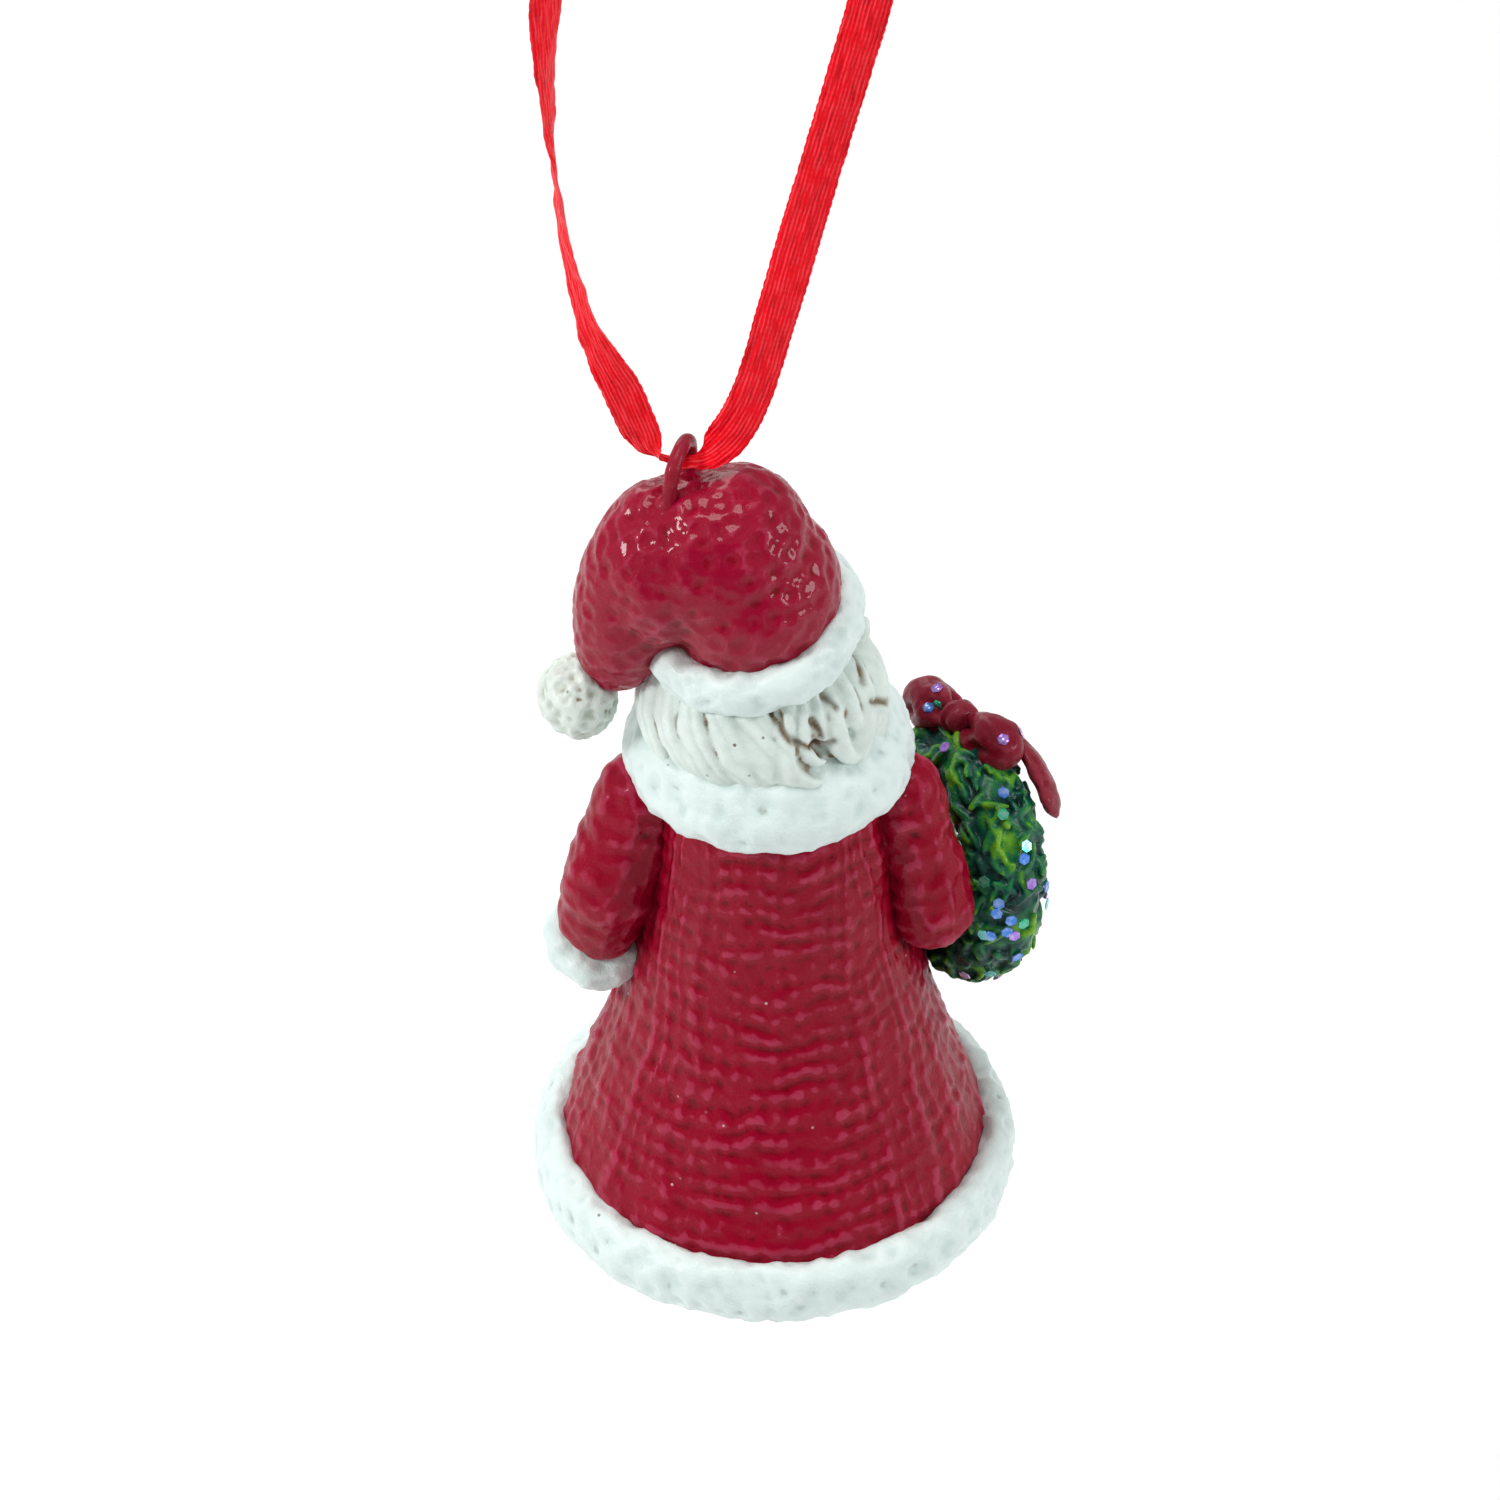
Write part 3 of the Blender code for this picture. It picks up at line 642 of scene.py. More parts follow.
def band(points, turn_at, half_width_at, curl_at):
    """A flat woven band along points with a scalloped edge. turn_at gives its turn in degrees."""
    lengths = lengths_along(points)

    def place(u, v):
        index, here, along = step_along(points, v)
        flat = Vector((along.z, 0.0, -along.x))
        turn = radians(turn_at(index))
        side = flat * cos(turn) + Vector((0.0, 1.0, 0.0)) * sin(turn)
        out = side.cross(along).normalized()
        across, up = cos(2 * pi * u), sin(2 * pi * u)
        pick = lengths[index] / 0.8 + 0.3 * sin(lengths[index] * 0.7)
        loop = abs(sin(pi * pick)) * max(abs(across) - 0.7, 0.0) / 0.3
        half = half_width_at(index) - 0.06 + 0.07 * loop
        edge = 0.35 + 0.65 * (1 - across * across)
        bend = curl_at(index) * (across * across - 0.4)
        bend += 0.24 * noise.noise(Vector((across * 3.4, lengths[index] * 0.55, 4.0)))
        return here + side * across * half + out * (up * RIBBON_THICK * edge + bend)

    def uv(u, v):
        index = step_along(points, v)[0]
        return cos(2 * pi * u) * half_width_at(index), lengths[index]

    return skin(36, len(points) - 1, place, uv)


def make_ribbon():
    """The loop through the eye, the knot and the two short ends."""
    finish = satin()
    count = 380
    right, left = ribbon_line(RIGHT_RUN, count), ribbon_line(LEFT_RUN, count)
    route = right[::-1] + left[1:]

    def turn_at(index):
        height = route[index].z
        stops = RIGHT_TURN if index < count else LEFT_TURN
        return between(stops, height)

    def near_eye(index):
        return max(0.0, 1.0 - (route[index] - right[0]).length / 4.5)

    loop = band(route, turn_at, lambda i: RIBBON_WIDTH / 2 - 0.86 * min(1.0, 1.6 * near_eye(i) ** 2),
                lambda i: 0.3 * near_eye(i) ** 2 + 0.08)
    loop = settle(loop, "ribbon_loop_band", "ribbon_loop", "ribbon", finish, "hanging_ribbon")
    knot = settle(knot_shape(), "ribbon_knot_wraps", "ribbon_loop", "ribbon", finish, "ribbon_knot")
    for side, run in zip(("left", "right"), TAILS):
        points = ribbon_line(run, 34)
        end = band(points, lambda i: 8.0 + 0.8 * i, lambda i: 1.15 + 0.45 * min(1.0, i / 12),
                   lambda i: 0.5 * max(0.0, 1 - i / 16))
        notch_end(end, points[-1], points[-1] - points[-4])
        settle(end, f"ribbon_{side}_end_band", "ribbon_loop", "ribbon", finish,
                           f"ribbon_end_{side}")
    path = [PLACE @ point for point in route[::12] + [route[-1]]]
    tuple(path[0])


def notch_end(shape, tip, along):
    """Cut a band's end to a shallow V."""
    along = along.normalized()
    for vert in shape.verts:
        reach = (vert.co - tip).dot(along)
        if reach > -1.6:
            side = ((vert.co - tip) - along * reach).length
            vert.co += along * (min(side, 1.6) - 1.2) * (reach + 1.6) / 1.6


def knot_shape():
    """A tight overhand knot: a folded core with three turns of band round it."""
    shape = ball(bmesh.new(), KNOT_CENTRE, KNOT_RADII * 0.72, around=24, rings=16)
    press(shape, bumpy((0.18, 1.1, 4.0)))
    for lean, drop, size in ((28, -0.6, 0.82), (-24, 0.5, 0.80), (6, 1.2, 0.62)):
        turn = Matrix.Rotation(radians(lean), 4, "Y")
        centre = KNOT_CENTRE + Vector((0.0, 0.0, drop))
        ring = [centre + turn @ Vector((cos(a) * KNOT_RADII.x * size,
                                        sin(a) * KNOT_RADII.y * size, 0.35 * sin(2 * a)))
                for a in arc(48)]
        add(shape, rope(ring, lambda v: 0.85, lambda v: 0.34,
                        lambda here, c=centre: (here - c), around=16, strands=0.06, count=6))
    layer = shape.loops.layers.uv.verify()
    for face in shape.faces:
        for loop in face.loops:
            offset = loop.vert.co - KNOT_CENTRE
            loop[layer].uv = offset.z, atan2(offset.y, offset.x) * 2.2
    return shape


# ---- the coat and its fur

def robe_radius(height):
    """The robe's outer radius at a height."""
    for (low, first), (high, second) in zip(ROBE_OUTLINE, ROBE_OUTLINE[1:]):
        if height <= high:
            return first + (second - first) * max(0.0, (height - low) / (high - low))
    return ROBE_OUTLINE[-1][1]


def coat_knit(place, normal):
    """Wavy level ribs crossed by fine ridges that fan down from the shoulders."""
    around = atan2(place.x, place.y)
    level = place.z + 0.05 * place.x + 1.1 * lumps(Vector((around * 2.4, place.z * 0.10, 1.0)), 1.0)
    level += 0.35 * lumps(place, 2.2, 12.0)
    rib = 0.5 + 0.5 * cos(2 * pi * level / 1.85)
    side = clamped((abs(around) - 0.25) / 0.6)
    fan = around * 20 + 2.4 * lumps(Vector((around * 3.0, place.z * 0.12, 7.0)), 1.0)
    ridge = max(0.0, cos(fan)) ** 4 * (0.55 + 0.6 * lumps(place, 3.0, 2.0))
    purl = max(0.0, cos(2.6 * fan + 1.5 * lumps(place, 2.0, 5.0))) ** 2
    patch = 0.75 + 0.6 * lumps(place, 4.0, 9.0)
    patch = max(0.15, patch + 0.5 * lumps(Vector((around * 4.0, place.z * 0.45, 3.0)), 1.0))
    knit = 0.21 * rib * patch * (1.0 - 0.45 * side) * (
        0.9 + 0.7 * lumps(Vector((around * 9.0, place.z * 0.5, 6.0)), 1.0))
    knit += (0.10 + 0.16 * side) * ridge + (0.03 + 0.10 * side) * purl * patch
    return knit + 0.16 * lumps(place, 3.2, 1.0) + 0.10 * lumps(place, 0.8, 6.0) - 0.16


def arm_gap(place):
    """How far a point lies outside the nearer upper arm."""
    gap = 99.0
    for joints in (LEFT_ARM, RIGHT_ARM):
        start, end = Vector(joints[0]), Vector(joints[1])
        run = end - start
        share = clamped((place - start).dot(run) / run.length_squared)
        gap = min(gap, (place - start - run * share).length - 3.6)
    return gap


def make_robe(coat, resin):
    outside = smooth_line([(r, z, 0) for z, r in ROBE_OUTLINE], 150)
    inside = [(r - WALL, z) for z, r in ROBE_OUTLINE if z < CEILING] + [(7.6, CEILING),
                                                                        (0.0, CEILING)]
    profile = [(0.0, ROBE_OUTLINE[-1][0])] + [(p.x, p.y) for p in reversed(outside)] + inside
    shape = spun(profile, 300)

    def outer(place):
        return hypot(place.x, place.y) > robe_radius(place.z) - 0.9 and place.z > 0.6

    press(shape, lambda place, normal: coat_knit(place, normal) if outer(place) else
          0.10 * lumps(place, 3.0, 8.0))
    for face in shape.faces:
        face.material_index = 0 if outer(face.calc_center_median()) else 1
    mark_hollows(shape, 6, 0.09)
    hollow = shape.verts.layers.float["hollow"]
    # Painted shade between the arms and the body: the coat is marked as hollow close to the upper arms,
    # so its paint darkens there.
    for vert in shape.verts:
        shade = peak(max(0.0, arm_gap(vert.co)), 1.0)
        vert[hollow] = max(vert[hollow], 0.18) * (1.0 - 0.95 * shade)
    settle(shape, "knitted_coat", "bell_figure", "coat_red", (coat, resin), "robe_bell")


def turned_ring(outline, count, steps):
    """Turn a smooth closed outline of (radius, height) points about the upright axis."""
    line = smooth_line([(r, z, 0) for r, z in outline], count, ring=True)
    return spun([(p.x, p.y) for p in line], steps, ring=True)


def make_hem(fur):
    outline = ((16.7, 4.4), (17.7, 5.1), (18.7, 4.9), (19.5, 4.0), (19.9, 2.4), (19.8, 1.0),
               (19.2, 0.05), (17.6, 0.0), (15.4, 0.3), (15.2, 1.2), (15.9, 3.0))
    shape = turned_ring(outline, 44, 330)
    dent = dents(2.1, 0.36, 11.0, 0.3)

    def height_at(place, normal):
        if hypot(place.x, place.y) < 16.2:
            return 0.0
        edge = 0.22 * lumps(place, 1.6, 5.0) if normal.z > 0.6 else 0.0
        return dent(place, normal) + edge

    press(shape, height_at)
    cast(shape, "hem_fur", "fur_white", fur, "hem_band")


def make_collar(fur):
    outline = ((5.6, 50.2), (8.2, 49.3), (9.9, 47.8), (11.1, 45.9), (11.4, 44.2), (10.9, 42.6),
               (9.75, 42.1), (8.2, 43.4), (6.0, 45.4), (4.6, 47.4))
    shape = turned_ring(outline, 56, 220)
    bmesh.ops.translate(shape, verts=shape.verts, vec=(0.5, 0, 0))
    press(shape, dents(2.2, 0.34, 21.0, 0.3, (0.12, 3.5, 2.0)))
    cast(shape, "collar_fur", "fur_white", fur, "fur_collar")


def make_front_trim(fur):
    heights = [37.6 - 32.0 * step / 80 for step in range(81)]
    points = [Vector((0.0, -robe_radius(h) - 0.25, h)) for h in heights]

    def taper(v):
        return clamped(16 * min(v, 1 - v)) ** 0.5

    shape = rope(points, lambda v: 1.95 * taper(v), lambda v: 1.0 * taper(v),
                 lambda here: Vector((0, -1, 0.15)), around=30)
    press(shape, dents(2.1, 0.38, 31.0))
    cast(shape, "front_fur", "fur_white", fur, "front_trim", rounds=5)


# ---- hat, hair and face

def make_hat(red):
    """The dimpled crown and its drooping tip, with a dip that clears the ribbon's swing."""
    shape = ball(bmesh.new(), *CAP_TIP, turn=(0, CAP_TIP_LEAN, 0), around=40, rings=32)
    for centre, radii in CAP_LUMPS:
        ball(shape, centre, radii, around=48, rings=32)
    cut_away(shape, (0, 0, CAP_FOOT), (0, 0, -1))
    shape = melted(shape, 0.26, 8)

    def height_at(place, normal):
        fold = peak(place.x - 6.9 - 0.22 * (61.0 - place.z), 1.0)
        fold *= clamped((69.5 - place.z) / 3.0)
        dent = min(cells(place, 1.35, 3.0), 0.6) / 0.6
        wrinkle = 0.10 * lumps(Vector((place.x, place.y, place.z * 0.45)), 1.6, 6.0)
        pit = peak((place - CAP_PIT).length, 0.35)
        dip = peak(place.x - 5.8, 1.8) * peak(place.y + 0.7, 4.0) * max(0.0, normal.z)
        return (0.22 * (dent * dent - 0.7) - 0.6 * dip - 0.30 * fold * max(0.0, normal.y) + wrinkle
                + 0.05 * lumps(place, 0.6, 2.0) - 0.35 * pit)

    press(shape, height_at)
    cast(shape, "cap_crown", "hat_red", red, "hat", rounds=8, depth=0.13)


def make_brim(fur):
    angles = arc(48, pi / 2, -2 * pi)[:-1]
    shape = spun([(7.0 + 1.75 * cos(a), 2.0 * sin(a)) for a in angles], 200, ring=True)
    bmesh.ops.rotate(shape, verts=shape.verts, cent=(0, 0, 0),
                     matrix=Matrix.Rotation(HAT_TILT, 3, "Y") @ Matrix.Rotation(BRIM_LIFT, 3, "X"))
    bmesh.ops.translate(shape, verts=shape.verts, vec=BRIM_CENTRE)
    press(shape, dents(2.0, 0.34, 41.0, 0.35, (0.14, 3.0, 6.0)))
    cast(shape, "brim_fur", "fur_white", fur, "hat_brim")


def make_pom_pom(fur):
    shape = ball(bmesh.new(), (15.25, 1.0, 50.3), (3.05, 3.2, 3.4), around=90, rings=60)
    press(shape, lambda place, normal: 0.75 * (min(cells(place, 1.25, 5.0), 0.7) - 0.5)
          + 0.12 * lumps(place, 0.5, 2.0))
    cast(shape, "pom_pom_fur", "fur_white", fur, "pom_pom", rounds=5, depth=0.09)


# The curls on the right of the hair, and their stained outlines, as (bearing, height)
CURLS = ((1.0, ((21, 56.2), (13, 53.6), (10, 51.2), (13, 49.2), (24, 47.8), (37, 48.2))),
         (0.9, ((28, 56.4), (21, 53.4), (20, 51.2), (25, 49.7), (33, 49.4))),
         (0.8, ((35, 56.4), (30, 53.6), (30, 51.6), (36, 50.4))),
         (1.1, ((47, 56.4), (40, 53.6), (39, 51.0), (44, 49.0), (56, 48.0))),
         (1.0, ((57, 56.6), (52, 53.8), (53, 51.2), (62, 49.6))))
STAINED_CURLS = (((10, 54.2), (10, 53.2), (15, 52.3), (23, 51.5), (32, 51.0), (37, 51.2)),
                 ((27, 53.4), (30, 52.4), (31, 51.8)), ((38, 54.6), (42, 53.8)),
                 ((82, 55.5), (74, 54.6), (68, 53.8)), ((66, 52.4), (74, 51.4), (80, 50.6)))


def on_hair(bearing, height, lift=0.0):
    """A point on the hair at a bearing in degrees from the back, towards the right arm."""
    share = sqrt(max(0.02, 1 - ((height - HAIR_CENTRE.z) / HAIR_RADII.z) ** 2))
    angle = radians(bearing)
    return Vector((HAIR_CENTRE.x - (HAIR_RADII.x * share + lift) * sin(angle),
                   HAIR_CENTRE.y + (HAIR_RADII.y * share + lift) * cos(angle), height))


def bearing_of(place, centre):
    return degrees(atan2(centre.x - place.x, place.y - centre.y))


def lock(shape, points, width, thick, facing, strands=0.12):
    """Add a swept, tapered lock of hair through the points."""
    line = smooth_line(points, 22)

    def taper(v):
        return max(0.0, sin(pi * (0.12 + 0.88 * v))) ** 0.6 if 0 < v < 1 else 0.0

    add(shape, rope(line, lambda v: width * taper(v), lambda v: thick * taper(v), facing,
                    around=16, strands=strands))


def from_hair(here):
    return here - HAIR_CENTRE


def from_beard(here):
    return here - BEARD_CENTRE


def forward(_):
    return Vector((0, -1, 0))


def combed(place, centre, pitch, sweep, seed):
    """Fine combed grooves, from 0 in a groove to 1 between them, turning by sweep as they fall."""
    flow = bearing_of(place, centre) + sweep * (place.z - centre.z) + 9.0 * lumps(place, 3.5, seed)
    return abs(sin(pi * flow / pitch)) ** 0.7


def cut_curls(shape):
    """Cut the curls' outlines into the hair, mark them as stained, and mark them as hollow so they also
    take the painted shadow colour.
    """
    hollow, stained = shape.verts.layers.float["hollow"], shape.verts.layers.float.new("stained")
    degree = radians(1.0) * HAIR_RADII.x
    lines = [smooth_line([(b * degree, h, 0.0) for b, h in path], 30) for path in STAINED_CURLS]
    shape.normal_update()
    for vert in shape.verts:
        place = vert.co
        if place.x > 1.0 or place.y < -3.0:
            continue
        here = Vector((bearing_of(place, HAIR_CENTRE) * degree, place.z, 0.0))
        gap = min((here - point).length for line in lines for point in line)
        groove = peak(gap, 0.26)
        vert[stained] = min(1.0, 1.3 * groove * (0.75 + lumps(place, 1.3, 3.0)))
        # Painted shadow in the grooves: they are marked as hollow as well as stained.
        vert[hollow] *= 1.0 - groove
        vert.co = place - vert.normal * 0.35 * groove


def make_hair(white):
    """Swept locks round the back and sides of the head, curling over the collar."""
    shape = ball(bmesh.new(), HAIR_CENTRE, HAIR_RADII - Vector((0.2, 0.2, 0.4)), around=64, rings=48)
    cut_away(shape, (0, HAIR_FRONT, 0), (0, -1, 0))
    cut_away(shape, (0, 0, HAIR_LOW), (0, 0, -1))
    draw = random.Random(5)
    for step in range(13):
        start = -122 + 19 * step + draw.uniform(-4, 4)
        if -2 < start < 48:
            continue
        sweep = 38 if start < 14 else -26
        low = 46.4 + draw.uniform(-0.7, 0.7)
        points = [on_hair(start - sweep * 0.2, 56.6, 0.0), on_hair(start, 53.6, 0.2),
                  on_hair(start + sweep * 0.4, 50.4, 0.3), on_hair(start + sweep, low, 0.0)]
        lock(shape, points, draw.uniform(1.5, 2.1), 1.1, from_hair, 0.10)
    for width, path in CURLS:
        lock(shape, [on_hair(b, h, 0.45) for b, h in path], width, 1.1, from_hair, 0.08)
    shape = melted(shape, 0.18, 1)
    press(shape, lambda place, normal: 0.11 * combed(place, HAIR_CENTRE, 10.0, 4.4, 2.0)
          * (1.0 if place.x > -1.5 else 0.35) + 0.06 * lumps(place, 0.9) - 0.1)
    cut_curls(mark_hollows(shape, 9, 0.12))
    settle(shape, "swept_hair", "bell_figure", "hair_white", white, "hair")


def wavy(place, centre, pitch, seed):
    """Beard waves: deep round locks with finer strands on them, spreading from the middle."""
    across = place.x - centre.x
    flow = across + 0.55 * sin(0.85 * place.z + 0.35 * across) + 0.7 * lumps(place, 3.2, seed)
    locks = abs(sin(pi * flow / pitch)) ** 0.8
    fine = abs(sin(pi * 3.0 * flow / pitch + 0.8 * lumps(place, 1.6, seed + 2.0)))
    return locks + 0.28 * fine


def make_beard(white):
    """A full beard of wavy locks with sideburns, and a moustache curled over it."""
    shape = ball(bmesh.new(), BEARD_CENTRE, BEARD_RADII - Vector((0.4, 0.5, 0.4)), around=60, rings=40)
    for side in (-1, 1):
        for points in (((6.9, -1.6, 56.2), (7.2, -2.6, 52.4), (6.4, -4.4, 48.6), (4.6, -6.6, 45.0)),
                       ((6.3, -3.4, 55.4), (6.2, -4.6, 51.8), (5.0, -6.8, 48.4), (3.2, -8.2, 45.0))):
            lock(shape, [Vector((FACE_MIDDLE + side * x, y, z)) for x, y, z in points], 1.7, 1.5,
                 from_beard, 0.05)
    for x, low, width in ((-3.2, 37.6, 1.3), (-0.9, 36.6, 1.4), (1.6, 36.3, 1.5), (3.9, 37.0, 1.3)):
        lock(shape, [Vector((1.0 + (x - 1.0) * 1.2, -8.6, 42.4)), Vector((x, -9.4, 39.6)),
                     Vector((x * 0.8 + 0.5, -9.3, low))], width, 1.1, forward, 0.05)
    shape = melted(shape, 0.18, 3)
    press(shape, lambda place, normal: 0.62 * (wavy(place, BEARD_CENTRE, 1.75, 4.0) - 0.75))
    cast(shape, "wavy_beard", "hair_white", white, "beard", rounds=9, depth=0.22)
    shape = bmesh.new()
    for side in (-1, 1):
        for rise, reach, width in ((0.0, 4.3, 0.95), (0.6, 3.7, 0.7), (-0.6, 3.5, 0.7)):
            points = [Vector((FACE_MIDDLE + side * 0.1, -8.7, 51.4 + rise * 0.5)),
                      Vector((FACE_MIDDLE + side * reach * 0.45, -9.2, 51.0 + rise)),
                      Vector((FACE_MIDDLE + side * reach * 0.85, -8.5, 50.1 + rise * 0.8)),
                      Vector((FACE_MIDDLE + side * reach, -7.6, 50.8 + rise * 0.6))]
            lock(shape, points, width, 0.85, forward)
    shape = melted(shape, 0.13, 1)
    press(shape, lambda place, normal: 0.14 * abs(sin(
        4.2 * (place.z + 0.25 * abs(place.x - FACE_MIDDLE)) + lumps(place, 1.5))) - 0.08)
    cast(shape, "curled_moustache", "hair_white", white, "moustache", depth=0.12)


# Nostrils, eye sockets and cheeks: apart from the middle, back, height, size and rise
FACE_PAIRS = ((0.85, 0.0, 52.8, (0.5, 2.0, 0.5), 0.45), (2.3, 0.8, 54.7, (1.1, 3.0, 0.8), -0.55),
              (3.0, 1.0, 53.0, (1.4, 3.0, 1.2), 0.5))


def mound(place, centre, size):
    """1 at the centre of a soft mound, falling towards 0 beyond its size."""
    offset = Vector([(a - b) / c for a, b, c in zip(place, centre, size)])
    return exp(-offset.length_squared)


def make_face(flesh, white, ball_white, iris_brown):
    """A calm, plain face: brow, sockets, cheeks, a rounded nose, eyes and brows."""
    shape = ball(bmesh.new(), HEAD_CENTRE, HEAD_RADII, around=120, rings=90)
    front = HEAD_CENTRE.y - HEAD_RADII.y
    middle = HEAD_CENTRE.x
    moves = [((middle, front - 0.2, 53.0), (1.0, 2.5, 1.1), 1.25),
             ((middle, front, 54.4), (0.6, 2.5, 1.6), 0.6)]
    moves += [((middle + side * apart, front + back, height), size, rise)
              for apart, back, height, size, rise in FACE_PAIRS for side in (-1, 1)]
    blush = shape.verts.layers.float.new("blush")
    for vert in shape.verts:
        place = vert.co.copy()
        for centre, size, rise in moves:
            vert.co.y -= rise * mound(place, centre, size)
        cheeks = sum(mound(place, (middle + side * 3.2, front + 1, 52.9), (1.6, 4, 1.3))
                     for side in (-1, 1))
        tip = mound(place, (middle, front, 52.9), (1.1, 3, 1.0))
        vert[blush] = min(1.0, 0.75 * cheeks + 0.6 * tip)
    cast(shape, "face", "skin", flesh, "head", rounds=10, depth=0.12)
    eyes, irises, brows, lids = bmesh.new(), bmesh.new(), bmesh.new(), bmesh.new()
    for side in (-1, 1):
        centre = Vector((middle + side * 2.3, front + 1.1, 54.6))
        ball(eyes, centre, (0.85, 0.7, 0.6), around=28, rings=18)
        ball(irises, centre + Vector((0, -0.6, 0.02)), (0.34, 0.14, 0.34), around=20, rings=12)
        points = [Vector((middle + side * 1.2, front - 0.05, 55.85)),
                  Vector((middle + side * 2.4, front + 0.2, 56.1)),
                  Vector((middle + side * 3.7, front + 1.2, 55.3))]
        lock(brows, points, 0.45, 0.45, forward, 0.2)
        for lid, rise in ((0.42, 0.28), (-0.34, 0.2)):
            rim = [centre + Vector((0.85 * cos(a), -0.48 - 0.16 * sin(a), lid * sin(a)))
                   for a in arc(12, turn=pi)]
            lock(lids, rim, 0.16, rise, forward, 0.0)
    settle(lids, "eyelids", "bell_figure", "skin", flesh)
    settle(eyes, "eyeballs", "bell_figure", "skin", ball_white)
    settle(irises, "irises", "bell_figure", "skin", iris_brown)
    cast(brows, "eyebrows", "hair_white", white, rounds=3)


# ---- arms

def limb(shape, start, end, first, second):
    """Add a round-ended limb between two points."""
    start, end = Vector(start), Vector(end)
    points = [start.lerp(end, step / 10) for step in range(11)]
    for index, point in enumerate(points):
        size = first + (second - first) * index / 10
        ball(shape, point, (size, size, size), around=28, rings=18)
    return shape


def make_arm(side, joints, radii, cuff_at, facing, cuff_radius, hand, thumb, coat, fur, green):
    """A creased sleeve, a faceted fur cuff and a mitten."""
    shoulder, elbow, wrist = joints
    shape = limb(bmesh.new(), shoulder, elbow, radii[0], radii[1])
    limb(shape, elbow, wrist, radii[1] - 0.05, radii[2])
    shape = melted(shape, 0.28, 5)
    along = (Vector(elbow) - Vector(shoulder)).normalized()

    def height_at(place, normal):
        level = place.dot(along) + 0.5 * lumps(place, 2.5, 3.0)
        rib = 0.5 + 0.5 * cos(2 * pi * level / 2.0)
        spread = cos(2 * pi * (normal.x * 1.6 + normal.y) + 2 * lumps(place, 3.0, 1.0))
        return (0.09 * rib * (0.8 + lumps(place, 3.0, 2.0)) + 0.09 * max(0.0, spread) ** 3
                + 0.30 * lumps(place, 2.4, 8.0) + 0.14 * lumps(place, 1.0, 4.0) - 0.12)

    press(shape, height_at)
    cast(shape, f"{side}_knitted_sleeve", "coat_red", coat, f"{side}_sleeve")
    shape = ball(bmesh.new(), (0, 0, 0), (cuff_radius, cuff_radius, 2.1), around=80, rings=40)
    for vert in shape.verts:
        rim = hypot(vert.co.x, vert.co.y) / cuff_radius
        vert.co.z *= 1.0 + 0.55 * rim ** 4
    turn = Vector(facing).to_track_quat("Z", "Y")
    moved(shape, Matrix.LocRotScale(Vector(cuff_at), turn, None))
    press(shape, dents(2.1, 0.40, 51.0))
    cast(shape, f"{side}_cuff_fur", "fur_white", fur, f"{side}_cuff", rounds=5)
    shape = bmesh.new()
    for place, size in (hand, thumb):
        ball(shape, place, size, around=32, rings=22)
    shape = melted(shape, 0.2, 4)
    press(shape, bumpy((0.10, 1.2, 5.0), (0.04, 0.5, 2.0)))
    cast(shape, f"{side}_mitten_hand", "mitten_green", green, f"{side}_mitten", depth=0.08)


# ---- the wreath and its bow

FACING = Vector((-0.891, -0.432, -0.143)).normalized()
TOP = Vector((0.028, -0.368, 0.930))
TOP = (TOP - FACING * TOP.dot(FACING)).normalized()
WREATH_PLACE = Matrix.Translation(WREATH_CENTRE) @ Matrix(
    (TOP.cross(FACING), TOP, FACING)).transposed().to_4x4()


# Glitter at set places on the wreath, as (around the ring, over the tube, shade)
FLAKES = ((147, -17, 0.1), (156, -100, 0.1), (176, -58, 0.1), (196, -2, 0.1), (162, 5, 0.3),
          (205, -53, 0.3), (138, -7, 0.5), (167, -1, 0.5), (186, -38, 0.5), (191, -40, 0.5),
          (194, -20, 0.5), (200, -23, 0.5), (204, -43, 0.5), (216, 3, 0.5), (202, -12, 0.7),
          (111, 25, 0.1), (123, 17, 0.9))
BOW_KNOT = (-0.4, 11.4, 0.0)
BOW_LOOPS = ((-1, "bow_back_loop", "bow_loop_back", (-3.6, 10.2, 0.9),
              (((-0.3, 0.8, 0.7), 0.7), ((-0.9, 0.3, 0.5), 0.9))),
             (1, "bow_front_loop", "bow_loop_front", (3.3, 11.2, -0.2),
              (((0.25, 0.75, 0.65), 0.5), ((-0.05, 0.65, 0.6), 0.1), ((-0.5, 0.55, 0.15), 0.7),
               ((0.0, 0.2, 1.0), 0.7))))
BOW_TAILS = (("bow_back_tail", "bow_tail_back",
              ((-1.5, 11.0, 1.6), (-3.4, 10.0, 3.0), (-6.0, 8.4, 3.7), (-8.5, 4.4, 4.2))),
             ("bow_front_tail", "bow_tail_front",
              ((1.0, 11.0, 1.4), (2.3, 9.2, 3.2), (3.2, 6.6, 3.9), (2.9, 3.3, 4.1))))


def on_wreath(around, over, tube):
    """Place and outward direction on the wreath: around the ring, and over its tube."""
    a, b = radians(around), radians(over)
    ring = Vector((cos(a), sin(a), 0.0))
    out = ring * cos(b) + Vector((0, 0, 1)) * sin(b)
    return ring * WREATH_MEAN + out * tube, out, Vector((-sin(a), cos(a), 0.0))


def inside_robe(place):
    return hypot(place.x, place.y) < robe_radius(max(0.3, place.z)) - 0.6


